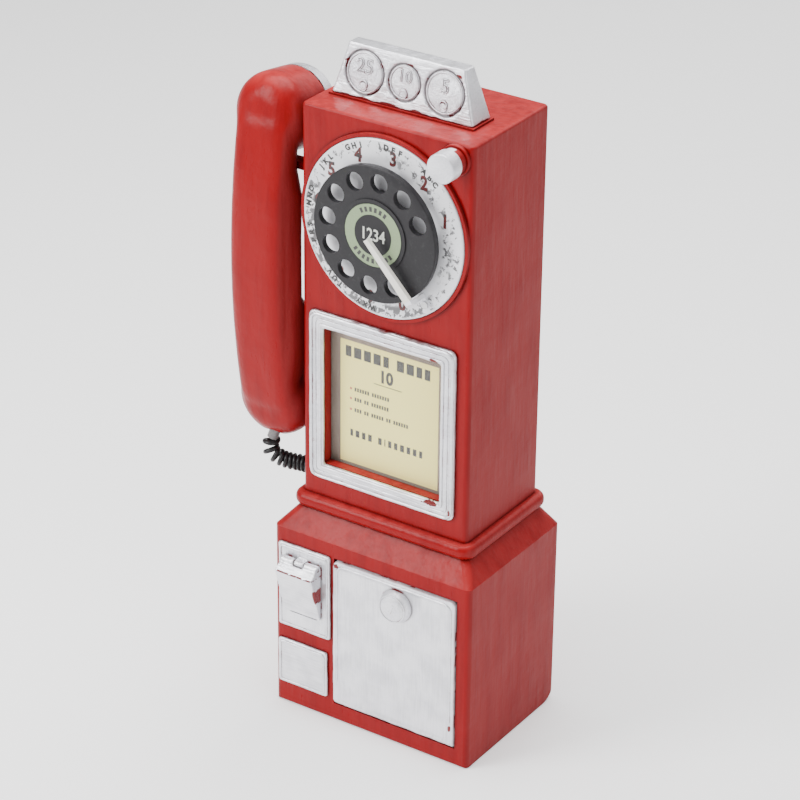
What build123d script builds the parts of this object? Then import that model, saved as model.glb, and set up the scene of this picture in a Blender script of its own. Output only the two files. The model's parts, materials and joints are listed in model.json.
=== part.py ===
from build123d import *
import math
import os

# Desk-top model of a wall pay telephone: a red cast column on a wider base, with a
# finger-wheel dial, a coin head, an instruction-card window, a coin return, a vault
# door and a handset hanging on a hook at the left side.
#
# Millimetres. +Z is up, the front faces -Y, and the origin is the centre of the base's
# outline on the surface that the model stands on.

# ---------------------------------------------------------------- driving sizes

# base casting
base_width = 90.5
base_depth = 64.6
base_wall_top = 80.0      # where the upright walls end and the shoulder starts
base_wall = 5.5
base_corner = 2.5
base_bottom_back = 8.0    # radius of the back edge at the bottom
base_bottom_edge = 1.0
deck_under = 81.0         # ceiling of the hollow base
deck_top = 88.0           # seat of the column on the base
neck_grow = 1.3           # how far the neck stands out from the column

# column casting
column_width = 75.0
column_depth = 50.6
column_top = 255.0
column_wall = 4.0
column_corner = 2.0
column_top_edge = 1.2
column_set_back = 8.75    # from the base's front to the column's front
bead_height = 6.0
bead_proud = 3.6

# dial
dial_x = 0.0
dial_z = 214.5
dial_plate_radius = 35.0
dial_plate_thickness = 2.2
collar_width = 1.3
collar_proud = 1.5
wheel_radius = 26.7
wheel_thickness = 2.4
wheel_stand_off = 3.1     # from the plate's face to the wheel's back
finger_hole_radius = 3.7
finger_hole_pitch_radius = 20.7
finger_hole_count = 10
first_hole_angle = 24.0
hole_step_angle = 30.0
hub_radius = 8.0
label_radius = 12.5
label_thickness = 0.35
label_seat_height = 0.5
spindle_radius = 2.0
spindle_head_radius = 4.5
spindle_head_thickness = 0.9
clip_radius = 4.5
clip_thickness = 1.0
finger_stop_angle = -51.0
finger_stop_thickness = 1.6
finger_stop_foot_width = 3.4
finger_stop_tip_width = 2.0
finger_stop_tip_proud = 10.9
finger_stop_heel_proud = 7.2

# release button
button_x = 30.2
button_z = 248.9
button_radius = 5.7
button_wall = 0.6
button_proud = 11.0
button_face = 1.8
button_skirt = 3.9
button_travel = 3.0
button_stem_radius = 2.0
barrel_flange_radius = 5.9
barrel_flange = 1.5
barrel_front = 5.9
barrel_tail_radius = 3.1
spring_wire = 0.5
spring_turns = 5

# coin head
head_bottom_width = 61.5
head_top_width = 50.4
head_bottom_depth = 12.3
head_top_depth = 6.2
head_height = 19.7
head_centre_x = -2.4
head_set_back = 13.0      # behind the column's front
head_lean = 3.2           # how far the front's top edge lies behind its bottom edge
plinth_height = 0.8
plinth_margin = 0.7
coin_pitch = 17.3
coin_radii = {"coin_disc_25": 8.6, "coin_disc_10": 7.2, "coin_disc_5": 8.7}
coin_recess = 1.5
coin_thickness = 1.1
coin_margin = 0.7

# instruction window
window_centre_x = -0.7
window_width = 52.8
window_bottom = 108.8
window_height = 58.1
frame_width = 6.4
frame_thickness = 1.5
pane_lap = 2.0
pane_thickness = 1.0
card_thickness = 0.4
backing_thickness = 2.0
backing_lap = 5.0

# coin return
bezel_left = -42.5
bezel_right = -18.3
bezel_bottom = 36.7
bezel_top = 74.0
bezel_thickness = 1.3
return_mouth_width = 13.0
return_mouth_bottom = 44.0
return_mouth_top = 63.0
return_centre_x = -30.6
cup_wall = 1.5
cup_depth = 17.0
flap_width = 17.2
flap_top = 69.9
flap_front_drop = 4.7
flap_reach = 6.9
flap_bottom = 45.2
flap_wall = 1.2
knuckle_radius = 1.7
knuckle_gap = 0.3
flap_pin_radius = 0.6
bezel_lug_width = 5.0

# blank plate under the coin return
blank_left = -43.0
blank_right = -19.7
blank_bottom = 10.1
blank_top = 30.2
blank_thickness = 1.3

# vault door and lock
door_left = -16.5
door_right = 39.4
door_bottom = 8.2
door_top = 73.6
door_thickness = 5.2
door_proud = 1.3
door_stop_lap = 1.5
door_pin_radius = 0.8
door_pin_in_door = 4.5
door_pin_in_base = 3.0
lock_x = 13.0
lock_z = 63.7
lock_radius = 6.75
lock_proud = 4.0
lock_shaft_radius = 2.4
cam_length = 13.0
cam_width = 6.0
cam_thickness = 1.8
nut_radius = 4.0
nut_thickness = 2.2

# partition between the coin return and the vault
partition_left = -19.8
partition_right = -17.8

# handset, with depths measured back from the column's front
handset_stand_off = 16.7  # from the column's side to the drums' axis
ear_z = 244.4
mouth_z = 127.1
end_tilt = 8.0            # degrees that the caps lean towards each other
drum_radius = 15.8
drum_front = -2.5
drum_back = 19.8
drum_front_edge = 9.5
cap_depth = 6.2
cap_radius = 15.7
cap_edge = 2.5
cap_dish_radius = 10.3
cap_dish_depth = 0.8
spigot_radius = 4.0
spigot_length = 3.8
handle_width = 25.0
handle_front_end = -3.5
handle_front_mid = -9.2
handle_back_end = 6.6
handle_back_mid = 5.0
handle_front_edge = 5.4
handle_back_edge = 3.5

# hook
hook_plate = 1.8
hook_plate_height = 18.0
hook_plate_margin = 2.0
hook_arm_height = 3.0
hook_arm_depth = 5.2
hook_set_back = 8.9       # the arm's middle behind the column's front
hook_reach = 34.3         # from the column's side to the hook's tip
hook_end_thickness = 2.4
hook_end_rise = 5.4
hook_under_drum = 0.85

# curly cord
cord_diameter = 7.0
grommet_radius = 3.6
grommet_tail_radius = 2.6
grommet_proud = 1.5
# (left of the column's side, behind the column's front, height)
cord_offsets = [
    (17.1, 3.6, 110.1),
    (18.6, 2.8, 105.2),
    (15.0, 4.3, 101.7),
    (11.3, 6.6, 99.9),
    (6.3, 8.8, 99.6),
    (grommet_proud, 8.8, 99.6),
]
gland_radius = 2.2
gland_length = 8.0

# bottom cover and felt
felt_thickness = 1.2
felt_sink = 0.9
felt_margin = 3.0         # from the cavity's walls
bottom_thickness = 4.0
post_size = 10.0
bottom_post_height = 10.0
joining_post_height = 8.0

# screws
screw_radius = 1.25
screw_head_radius = 2.5
screw_head = 1.4
small_screw_radius = 0.8
small_head_radius = 1.6
small_head = 0.8

# clearances
slip = 0.3                # between pieces that are only laid in place
running = 0.06            # radial, a turning or sliding shaft in its bore
seat = 0.02               # radial, a fixed pin or screw in its hole
door_gap = 0.35

# ---------------------------------------------------------------- worked-out sizes

base_floor = felt_thickness - felt_sink
screw_under = felt_thickness + slip
base_front = -base_depth / 2
base_back = base_depth / 2
base_side = base_width / 2
base_inner_front = base_front + base_wall
base_inner_side = base_side - base_wall
column_front = base_front + column_set_back
column_back = column_front + column_depth
column_mid_y = (column_front + column_back) / 2
column_side = column_width / 2
column_inner_front = column_front + column_wall
column_inner_side = column_side - column_wall
column_inner_top = column_top - column_wall
plate_face = column_front - dial_plate_thickness
wheel_back = plate_face - wheel_stand_off
wheel_face = wheel_back - wheel_thickness
label_face = wheel_face - label_seat_height
window_left = window_centre_x - window_width / 2
window_right = window_centre_x + window_width / 2
window_top = window_bottom + window_height
pane_front = column_inner_front
card_front = pane_front + pane_thickness
backing_front = card_front + card_thickness
backing_back = backing_front + backing_thickness
bezel_face = base_front - bezel_thickness
door_face = base_front - door_proud
door_back = door_face + door_thickness
door_axis_y = door_face + door_thickness / 2
door_axis_z = door_bottom + door_thickness / 2
cam_front = base_inner_front + slip
flap_axis_y = bezel_face - knuckle_gap - knuckle_radius
flap_axis_z = flap_top - knuckle_radius
head_floor = column_top + plinth_height
head_front_y = column_front + head_set_back
handset_x = -column_side - handset_stand_off
drum_length = drum_back - drum_front
drum_middle_y = column_front + (drum_front + drum_back) / 2
tilt_sine = math.sin(math.radians(end_tilt))
tilt_cosine = math.cos(math.radians(end_tilt))
ear_frame = Plane((handset_x, drum_middle_y, ear_z), x_dir=(1, 0, 0),
                  z_dir=(0, tilt_cosine, -tilt_sine))
mouth_frame = Plane((handset_x, drum_middle_y, mouth_z), x_dir=(1, 0, 0),
                    z_dir=(0, tilt_cosine, tilt_sine))
handle_front_end_y = column_front + handle_front_end
handle_front_mid_y = column_front + handle_front_mid
handle_back_end_y = column_front + handle_back_end
handle_back_mid_y = column_front + handle_back_mid
hook_centre_y = column_front + hook_set_back
hook_end_x = -column_side - hook_reach
hook_arm_top = ear_z - drum_radius - hook_under_drum
cord_route = [(-column_side - dx, column_front + dy, z) for dx, dy, z in cord_offsets]
bottom_screw_places = [
    (sx * (base_inner_side - post_size / 2), sy * (base_back - base_wall - post_size / 2))
    for sx in (-1, 1)
    for sy in (-1, 1)
]
joining_screw_places = [
    (sx * (column_inner_side - post_size / 2), y)
    for sx in (-1, 1)
    for y in (column_inner_front + post_size / 2, column_back - column_wall - post_size / 2)
]


# ---------------------------------------------------------------- building blocks


def block(x0, x1, y0, y1, z0, z1):
    """A box between two corners."""
    place = Pos((x0 + x1) / 2, (y0 + y1) / 2, (z0 + z1) / 2)
    return place * Box(abs(x1 - x0), abs(y1 - y0), abs(z1 - z0))


def rod_x(y, z, radius, x0, x1):
    """A cylinder along X."""
    return Pos((x0 + x1) / 2, y, z) * Rot(0, 90, 0) * Cylinder(radius, abs(x1 - x0))


def rod_y(x, z, radius, y0, y1):
    """A cylinder along Y."""
    return Pos(x, (y0 + y1) / 2, z) * Rot(90, 0, 0) * Cylinder(radius, abs(y1 - y0))


def rod_z(x, y, radius, z0, z1):
    """A cylinder along Z."""
    return Pos(x, y, (z0 + z1) / 2) * Cylinder(radius, abs(z1 - z0))


def turned(radius, start, end):
    """A cylinder along the local Z axis, placed by a plane later."""
    return Pos(0, 0, (start + end) / 2) * Cylinder(radius, end - start)


def side_profile(points, x0, x1):
    """A polygon of (y, z) points stretched from x0 to x1."""
    face = make_face(Polyline(*[(x0, y, z) for y, z in points], close=True))
    return extrude(face, amount=x1 - x0, dir=(1, 0, 0))


def rounded_plate(x0, x1, z0, z1, y_back, y_front, corner, edge):
    """An upright plate with round corners and a softened front edge."""
    plate = block(x0, x1, y_front, y_back, z0, z1)
    plate = fillet(plate.edges().filter_by(Axis.Y), corner)
    return fillet(plate.faces().sort_by(Axis.Y)[0].edges(), edge)


def joined(pieces):
    """Separate solids that share one node."""
    return Compound(children=list(pieces))


# ---------------------------------------------------------------- castings


def upper_housing():
    column = block(-column_side, column_side, column_front, column_back, deck_top, column_top)
    column = fillet(column.edges().filter_by(Axis.Z), column_corner)
    column = fillet(column.faces().sort_by(Axis.Z)[-1].edges(), column_top_edge)
    bead = block(
        -column_side - bead_proud,
        column_side + bead_proud,
        column_front - bead_proud,
        column_back + bead_proud,
        deck_top,
        deck_top + bead_height,
    )
    bead = fillet(bead.edges().filter_by(Axis.Z), column_corner + bead_proud)
    rims = bead.faces().sort_by(Axis.Z)[-1].edges() + bead.faces().sort_by(Axis.Z)[0].edges()
    bead = fillet(rims, bead_height / 2 - 0.3)
    collar = rod_y(dial_x, dial_z, dial_plate_radius + slip + collar_width,
                   column_front - collar_proud, column_front)
    plinth = block(
        head_centre_x - head_bottom_width / 2 - plinth_margin,
        head_centre_x + head_bottom_width / 2 + plinth_margin,
        head_front_y - plinth_margin,
        head_front_y + head_bottom_depth + plinth_margin,
        column_top - column_top_edge,
        head_floor,
    )
    casting = column + bead + collar + plinth
    casting -= rod_y(dial_x, dial_z, dial_plate_radius + slip,
                     column_front - collar_proud, column_front)
    casting -= block(-column_inner_side, column_inner_side, column_inner_front,
                     column_back - column_wall, deck_top, column_inner_top)
    for x, y in joining_screw_places:
        half = post_size / 2
        casting += block(x - half, x + half, y - half, y + half, deck_top,
                         deck_top + joining_post_height)
    for x, y in joining_screw_places:
        casting -= rod_z(x, y, screw_radius + seat, deck_top, deck_top + joining_post_height - 1)
    # dial spindle and the plate's screws
    casting -= rod_y(dial_x, dial_z, spindle_radius + running, column_front, column_inner_front)
    for x, z in dial_screw_places():
        casting -= rod_y(x, z, small_screw_radius + seat, column_front, column_front + 3.2)
    # release button: barrel seat through the wall and room behind for the stem's clip
    casting -= rod_y(button_x, button_z, barrel_tail_radius + seat, column_front, column_inner_front)
    casting -= rod_y(button_x, button_z, barrel_tail_radius, column_inner_front, column_inner_front + 8)
    # instruction window
    casting -= block(window_left, window_right, column_front, column_inner_front,
                     window_bottom, window_top)
    for x, z in backing_screw_places():
        casting -= rod_y(x, z, small_screw_radius + seat, column_inner_front - 3, column_inner_front)
    # coin head, hook and cord
    for x, y in head_screw_places():
        casting -= rod_z(x, y, screw_radius + seat, column_inner_top, head_floor)
    for y, z in hook_screw_places():
        casting -= rod_x(y, z, small_screw_radius + seat, -column_side, -column_inner_side)
    _, cord_y, cord_z = cord_route[-1]
    casting -= rod_x(cord_y, cord_z, grommet_tail_radius + seat, -column_side, -column_inner_side)
    return casting


def lower_housing():
    walls = block(-base_side, base_side, base_front, base_back, base_floor, base_wall_top)
    walls = fillet(walls.edges().filter_by(Axis.Z), base_corner)
    hull = block(-base_side, base_side, base_front, base_back, base_floor, base_wall_top)
    low_edges = hull.faces().sort_by(Axis.Z)[0].edges().filter_by(Axis.X).sort_by(Axis.Y)
    hull = fillet([low_edges[-1]], base_bottom_back)
    low_edges = hull.faces().sort_by(Axis.Z)[0].edges().filter_by(Axis.X).sort_by(Axis.Y)
    walls = walls & fillet([low_edges[0]], base_bottom_edge)
    low = Pos(0, 0, base_wall_top) * RectangleRounded(base_width, base_depth, base_corner)
    high = Pos(0, column_mid_y, deck_top) * RectangleRounded(
        column_width + 2 * neck_grow, column_depth + 2 * neck_grow, column_corner + neck_grow
    )
    casting = walls + loft([low, high])
    inner_back = base_back - base_wall
    casting -= block(-base_inner_side, base_inner_side, base_inner_front, inner_back,
                     base_floor, deck_under)
    casting += block(partition_left, partition_right, base_inner_front, inner_back,
                     base_floor + bottom_thickness, deck_under)
    half = post_size / 2
    post_floor = base_floor + bottom_thickness
    for x, y in bottom_screw_places:
        casting += block(x - half, x + half, y - half, y + half, post_floor,
                         post_floor + bottom_post_height)
    for x, y in bottom_screw_places:
        casting -= rod_z(x, y, screw_radius + seat, post_floor, post_floor + 8)
    for x, y in joining_screw_places:
        casting -= rod_z(x, y, screw_radius + slip, deck_under, deck_top)
    # vault door: a front pocket the door lies in, and a stop lip behind it
    casting -= block(door_left - door_gap, door_right + door_gap, base_front, door_back + slip,
                     door_bottom - slip, door_top + door_gap)
    casting -= block(door_left + door_stop_lap, door_right - door_stop_lap, base_front,
                     base_inner_front, door_bottom - slip, door_top - door_stop_lap)
    casting -= rod_x(door_axis_y, door_axis_z, door_pin_radius + seat,
                     door_left - door_gap - door_pin_in_base - slip,
                     door_right + door_gap + door_pin_in_base + slip)
    # coin return cup
    half_mouth = return_mouth_width / 2 + cup_wall + slip
    casting -= block(return_centre_x - half_mouth, return_centre_x + half_mouth,
                     base_front, base_inner_front,
                     return_mouth_bottom - cup_wall - slip, return_mouth_top + cup_wall + slip)
    return casting


def bottom_plate():
    edge = slip
    plate = block(-base_inner_side + edge, base_inner_side - edge, base_inner_front + edge,
                  base_back - base_wall - edge, base_floor, base_floor + bottom_thickness)
    for x, y in bottom_screw_places:
        plate -= rod_z(x, y, screw_radius + slip, base_floor, base_floor + bottom_thickness)
        plate -= rod_z(x, y, screw_head_radius + slip, base_floor, screw_under + screw_head)
    return plate - felt_sheet(slip, base_floor, felt_thickness)


def felt_sheet(grow, z0, z1):
    reach_x = base_inner_side - felt_margin + grow
    reach_y = base_back - base_wall - felt_margin + grow
    return block(-reach_x, reach_x, -reach_y, reach_y, z0, z1)


def felt_pad():
    return felt_sheet(0, 0, felt_thickness)


def driver_slot(x, y, z):
    """The cut for a screwdriver in a head whose face is at z."""
    return block(x - 2, x + 2, y - 0.35, y + 0.35, z, z + 0.6)


def bottom_screws():
    pieces = []
    for x, y in bottom_screw_places:
        head = rod_z(x, y, screw_head_radius, screw_under, screw_under + screw_head)
        head -= driver_slot(x, y, screw_under)
        shank = rod_z(x, y, screw_radius, screw_under + screw_head,
                      base_floor + bottom_thickness + 7)
        pieces.append(head + shank)
    return joined(pieces)


def joining_screws():
    pieces = []
    for x, y in joining_screw_places:
        head = rod_z(x, y, screw_head_radius, deck_under - screw_head, deck_under)
        head -= driver_slot(x, y, deck_under - screw_head)
        pieces.append(head + rod_z(x, y, screw_radius, deck_under, deck_top + joining_post_height - 2))
    return joined(pieces)


# ---------------------------------------------------------------- coin head


def head_screw_places():
    y = head_front_y + head_bottom_depth / 2
    return [(head_centre_x - 15, y), (head_centre_x + 15, y)]


def head_face_plane(depth=0.0):
    """The plane of the leaning front face, moved into the head by depth."""
    lean = math.atan2(head_lean, head_height)
    normal = (0, -math.cos(lean), math.sin(lean))
    origin = Vector(
        head_centre_x,
        head_front_y + head_lean / 2,
        head_floor + head_height / 2,
    )
    return Plane(origin - Vector(*normal) * depth, x_dir=(1, 0, 0), z_dir=normal)


def coin_places():
    return {
        "coin_disc_25": -coin_pitch,
        "coin_disc_10": 0.0,
        "coin_disc_5": coin_pitch,
    }


def coin_head():
    low = Pos(head_centre_x, head_front_y + head_bottom_depth / 2, head_floor) * RectangleRounded(
        head_bottom_width, head_bottom_depth, 0.8
    )
    high = Pos(
        head_centre_x, head_front_y + head_lean + head_top_depth / 2, head_floor + head_height
    ) * RectangleRounded(head_top_width, head_top_depth, 0.8)
    head = loft([low, high])
    face = head_face_plane()
    for name, x in coin_places().items():
        recess = Cylinder(coin_radii[name], coin_recess, align=(Align.CENTER, Align.CENTER, Align.MAX))
        head -= face * Pos(x, 0, 0) * recess
    for x, y in head_screw_places():
        head -= rod_z(x, y, screw_radius + seat, head_floor, head_floor + 7)
    return head


def coin_disc(name):
    radius = coin_radii[name] - coin_margin
    seat_plane = head_face_plane(coin_recess)
    disc = Cylinder(radius, coin_thickness, align=(Align.CENTER, Align.CENTER, Align.MIN))
    disc = fillet(disc.faces().sort_by(Axis.Z)[-1].edges(), 0.25)
    nub = Pos(0, -radius + 2.6, coin_thickness) * Cylinder(
        1.6, 0.4, align=(Align.CENTER, Align.CENTER, Align.MIN)
    )
    return seat_plane * Pos(coin_places()[name], 0, 0) * (disc + nub)


def coin_head_screws():
    pieces = []
    for x, y in head_screw_places():
        head = rod_z(x, y, screw_head_radius, column_inner_top - screw_head, column_inner_top)
        pieces.append(head + rod_z(x, y, screw_radius, column_inner_top, head_floor + 6))
    return joined(pieces)


# ---------------------------------------------------------------- dial


def dial_screw_places():
    angles = (90, 210, 330)
    reach = 14.0
    return [
        (dial_x + reach * math.cos(math.radians(a)), dial_z + reach * math.sin(math.radians(a)))
        for a in angles
    ]


def dial_plate():
    plate = rod_y(dial_x, dial_z, dial_plate_radius, plate_face, column_front)
    plate = fillet(plate.faces().sort_by(Axis.Y)[0].edges(), 0.6)
    plate -= rod_y(dial_x, dial_z, spindle_radius + running, plate_face, column_front)
    for x, z in dial_screw_places():
        plate -= rod_y(x, z, small_screw_radius + slip, plate_face, column_front)
        plate -= rod_y(x, z, small_head_radius + slip, plate_face, plate_face + small_head + 0.1)
    foot_x, foot_z = stop_point(finger_stop_foot_reach())
    plate -= rod_y(foot_x, foot_z, small_screw_radius + seat, plate_face, column_front)
    return plate


def dial_plate_screws():
    pieces = []
    for x, z in dial_screw_places():
        head_front = plate_face + 0.1
        head = rod_y(x, z, small_head_radius, head_front, head_front + small_head)
        pieces.append(head + rod_y(x, z, small_screw_radius, head_front + small_head, column_front + 3))
    return joined(pieces)


def finger_hole_places():
    places = []
    for k in range(finger_hole_count):
        angle = math.radians(first_hole_angle + hole_step_angle * k)
        places.append((dial_x + finger_hole_pitch_radius * math.cos(angle),
                       dial_z + finger_hole_pitch_radius * math.sin(angle)))
    return places


def finger_wheel():
    wheel = rod_y(dial_x, dial_z, wheel_radius, wheel_face, wheel_back)
    wheel = fillet(wheel.faces().sort_by(Axis.Y)[0].edges(), 0.5)
    wheel += rod_y(dial_x, dial_z, hub_radius, wheel_back, plate_face - slip)
    wheel += rod_y(dial_x, dial_z, label_radius + 1.5, label_face, wheel_face)
    wheel -= rod_y(dial_x, dial_z, label_radius + 0.1, label_face, label_face + label_thickness)
    wheel -= rod_y(dial_x, dial_z, spindle_head_radius + 0.1, label_face,
                   label_face + label_thickness + spindle_head_thickness)
    wheel -= rod_y(dial_x, dial_z, spindle_radius + seat, wheel_face, plate_face)
    for x, z in finger_hole_places():
        wheel -= rod_y(x, z, finger_hole_radius, wheel_face, wheel_back)
    return wheel


def number_card():
    return rod_y(dial_x, dial_z, label_radius, label_face, label_face + label_thickness)


def dial_spindle():
    head_front = label_face + label_thickness
    head = rod_y(dial_x, dial_z, spindle_head_radius, head_front, head_front + spindle_head_thickness)
    end = column_inner_front + slip + clip_thickness + 1.0
    return head + rod_y(dial_x, dial_z, spindle_radius, head_front + spindle_head_thickness, end)


def spindle_clip():
    start = column_inner_front + slip
    ring = rod_y(dial_x, dial_z, clip_radius, start, start + clip_thickness)
    return ring - rod_y(dial_x, dial_z, spindle_radius + seat, start, start + clip_thickness)


def stop_point(reach):
    angle = math.radians(finger_stop_angle)
    return dial_x + reach * math.cos(angle), dial_z + reach * math.sin(angle)


def finger_stop_foot_reach():
    return wheel_radius + 0.6 + finger_stop_thickness + 2.4


def finger_stop():
    """A bent strip: foot on the plate, heel up past the wheel's rim, arm over the hub."""
    heel = wheel_radius + 0.6
    thick = finger_stop_thickness
    foot_end = heel + thick + 4.4
    # profile in (reach from the hub, distance in front of the plate)
    outline = [
        (foot_end, 0),
        (heel, 0),
        (heel, finger_stop_heel_proud),
        (0.0, finger_stop_tip_proud - thick),
        (0.0, finger_stop_tip_proud),
        (heel + thick * 0.6, finger_stop_heel_proud + thick),
        (heel + thick, finger_stop_heel_proud + thick * 0.4),
        (heel + thick, 1.0),
        (foot_end, 1.0),
    ]
    wide = 20.0
    strip = extrude(
        make_face(Polyline(*[(r, -wide / 2, h) for r, h in outline], close=True)),
        amount=wide,
        dir=(0, 1, 0),
    )
    half_foot = finger_stop_foot_width / 2
    half_tip = finger_stop_tip_width / 2
    plan = make_face(Polyline(
        (-half_tip, -half_tip), (foot_end, -half_foot), (foot_end, half_foot),
        (-half_tip, half_tip), close=True,
    ))
    strip = strip & extrude(plan, amount=30)
    rivet_reach = finger_stop_foot_reach()
    strip -= Pos(rivet_reach, 0, 0) * Cylinder(small_screw_radius + seat, 4)
    angle = math.radians(finger_stop_angle)
    place = Plane(
        (dial_x, plate_face, dial_z),
        x_dir=(math.cos(angle), 0, math.sin(angle)),
        z_dir=(0, -1, 0),
    )
    return place * strip


def finger_stop_rivet():
    x, z = stop_point(finger_stop_foot_reach())
    head_back = plate_face - 1.0
    return rod_y(x, z, 1.4, head_back - 0.6, head_back) + rod_y(
        x, z, small_screw_radius, head_back, column_front - 0.2
    )


# ---------------------------------------------------------------- release button


def release_barrel():
    """The fixed barrel: flange, neck that the button slides over, and tail in the wall."""
    neck = button_radius - button_wall - 0.1
    barrel = rod_y(button_x, button_z, barrel_flange_radius,
                   column_front - barrel_flange, column_front)
    barrel = fillet(barrel.faces().sort_by(Axis.Y)[0].edges(), 0.4)
    barrel += rod_y(button_x, button_z, neck, column_front - barrel_front,
                    column_front - barrel_flange)
    barrel += rod_y(button_x, button_z, barrel_tail_radius, column_front, column_inner_front)
    barrel -= rod_y(button_x, button_z, spring_outer() + 0.2, column_front - barrel_front,
                    spring_floor())
    barrel -= rod_y(button_x, button_z, button_stem_radius + running,
                    column_front - barrel_front, column_inner_front)
    return barrel


def spring_outer():
    return button_stem_radius + 0.3 + 2 * spring_wire


def spring_floor():
    return column_front - barrel_flange


def spring_top():
    return column_front - button_proud + button_face


def release_button():
    front = column_front - button_proud
    cap = rod_y(button_x, button_z, button_radius, front, front + button_face + button_skirt)
    cap = fillet(cap.faces().sort_by(Axis.Y)[0].edges(), 0.6)
    cap -= rod_y(button_x, button_z, button_radius - button_wall, front + button_face,
                 front + button_face + button_skirt)
    stem_end = column_inner_front + slip + clip_thickness + 0.6
    return cap + rod_y(button_x, button_z, button_stem_radius, front + button_face, stem_end)


def release_clip():
    start = column_inner_front + slip
    ring = rod_y(button_x, button_z, button_stem_radius + 0.8, start, start + clip_thickness)
    return ring - rod_y(button_x, button_z, button_stem_radius + seat, start, start + clip_thickness)


def release_spring():
    """The coil spring as a stack of rings joined by short links, on the button's stem."""
    start = spring_floor() - 0.02
    end = spring_top() + 0.02
    coil_radius = button_stem_radius + 0.3 + spring_wire
    rise = (start - end - 2 * spring_wire) / spring_turns
    coil = Helix(pitch=rise, height=rise * spring_turns, radius=coil_radius)
    wire = sweep(
        Plane(coil @ 0, z_dir=coil % 0) * Circle(spring_wire), path=coil, is_frenet=True
    )
    place = Plane((button_x, start - spring_wire, button_z), x_dir=(1, 0, 0), z_dir=(0, -1, 0))
    return place * wire


# ---------------------------------------------------------------- instruction window


def window_frame():
    outer = rounded_plate(window_left - frame_width, window_right + frame_width,
                          window_bottom - frame_width, window_top + frame_width,
                          column_front, column_front - frame_thickness, 2.5, 0.5)
    return outer - block(window_left, window_right, column_front - frame_thickness,
                         column_front, window_bottom, window_top)


def window_sheet(lap, y0, y1):
    return block(window_left - lap, window_right + lap, y0, y1,
                 window_bottom - lap, window_top + lap)


def window_pane():
    return window_sheet(pane_lap, pane_front, card_front)


def instruction_card():
    return window_sheet(pane_lap, card_front, backing_front)


def backing_screw_places():
    reach_x = window_width / 2 + (pane_lap + backing_lap) / 2
    z_low = window_bottom - 1.0
    z_high = window_top + 1.0
    # the side screws stand clear of the column's corner posts
    return [(window_centre_x + s * reach_x, z) for s in (-1, 1) for z in (z_low, z_high)]


def card_backing():
    backing = window_sheet(backing_lap, pane_front, backing_back)
    backing -= window_sheet(pane_lap + 0.1, pane_front, backing_front)
    for x, z in backing_screw_places():
        backing -= rod_y(x, z, small_screw_radius + 0.1, pane_front, backing_back)
    return backing


def card_backing_screws():
    pieces = []
    for x, z in backing_screw_places():
        head = rod_y(x, z, small_head_radius, backing_back, backing_back + small_head)
        pieces.append(head + rod_y(x, z, small_screw_radius, column_inner_front - 2.8, backing_back))
    return joined(pieces)


# ---------------------------------------------------------------- coin return


def coin_return_bezel():
    bezel = rounded_plate(bezel_left, bezel_right, bezel_bottom, bezel_top,
                          base_front, bezel_face, 0.8, 0.4)
    half_mouth = return_mouth_width / 2
    bezel -= block(return_centre_x - half_mouth, return_centre_x + half_mouth, bezel_face,
                   base_front, return_mouth_bottom, return_mouth_top)
    half_lug = bezel_lug_width / 2 - slip
    lug_radius = knuckle_radius - 0.2
    lug = rod_x(flap_axis_y, flap_axis_z, lug_radius, return_centre_x - half_lug,
                return_centre_x + half_lug)
    lug += block(return_centre_x - half_lug, return_centre_x + half_lug, flap_axis_y, bezel_face,
                 flap_axis_z - lug_radius, flap_axis_z + lug_radius)
    bezel += lug
    bezel -= rod_x(flap_axis_y, flap_axis_z, flap_pin_radius + seat,
                   return_centre_x - half_lug, return_centre_x + half_lug)
    return bezel


def coin_return_cup():
    half = return_mouth_width / 2
    back = base_front + cup_depth
    cup = block(return_centre_x - half - cup_wall, return_centre_x + half + cup_wall, base_front,
                back, return_mouth_bottom - cup_wall, return_mouth_top + cup_wall)
    return cup - block(return_centre_x - half, return_centre_x + half, base_front,
                       back - cup_wall, return_mouth_bottom, return_mouth_top)


def coin_return_flap():
    """A hood over the mouth, hung from two knuckles at its top edge."""
    left = return_centre_x - flap_width / 2
    right = return_centre_x + flap_width / 2
    back = bezel_face - knuckle_gap
    front = bezel_face - flap_reach
    front_top = flap_top - flap_front_drop
    top_back = flap_axis_y
    hood = side_profile(
        [(back, flap_axis_z), (top_back, flap_axis_z), (top_back, flap_top),
         (front, front_top), (back - 0.9, flap_bottom), (back, flap_bottom)], left, right)
    hood += rod_x(flap_axis_y, flap_axis_z, knuckle_radius, left, right)
    inner = side_profile(
        [(back + 1, flap_axis_z - knuckle_radius - 1.0),
         (top_back + 0.4, flap_axis_z - knuckle_radius - 1.0),
         (front + 1.4, front_top - 1.6),
         (back - 0.2, flap_bottom + flap_wall), (back + 1, flap_bottom + flap_wall)],
        left + flap_wall, right - flap_wall)
    hood -= inner
    half_lug = bezel_lug_width / 2
    hood -= rod_x(flap_axis_y, flap_axis_z, knuckle_radius + 0.2,
                  return_centre_x - half_lug, return_centre_x + half_lug)
    hood -= block(return_centre_x - half_lug, return_centre_x + half_lug, flap_axis_y,
                  bezel_face, flap_axis_z - knuckle_radius - 0.6, flap_top + 0.1)
    hood -= rod_x(flap_axis_y, flap_axis_z, flap_pin_radius + running, left, right)
    return hood


def flap_hinge_pin():
    half = flap_width / 2 - 0.3
    return rod_x(flap_axis_y, flap_axis_z, flap_pin_radius, return_centre_x - half,
                 return_centre_x + half)


def blank_plate():
    return rounded_plate(blank_left, blank_right, blank_bottom, blank_top, base_front,
                         base_front - blank_thickness, 1.0, 0.4)


# ---------------------------------------------------------------- vault door


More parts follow.
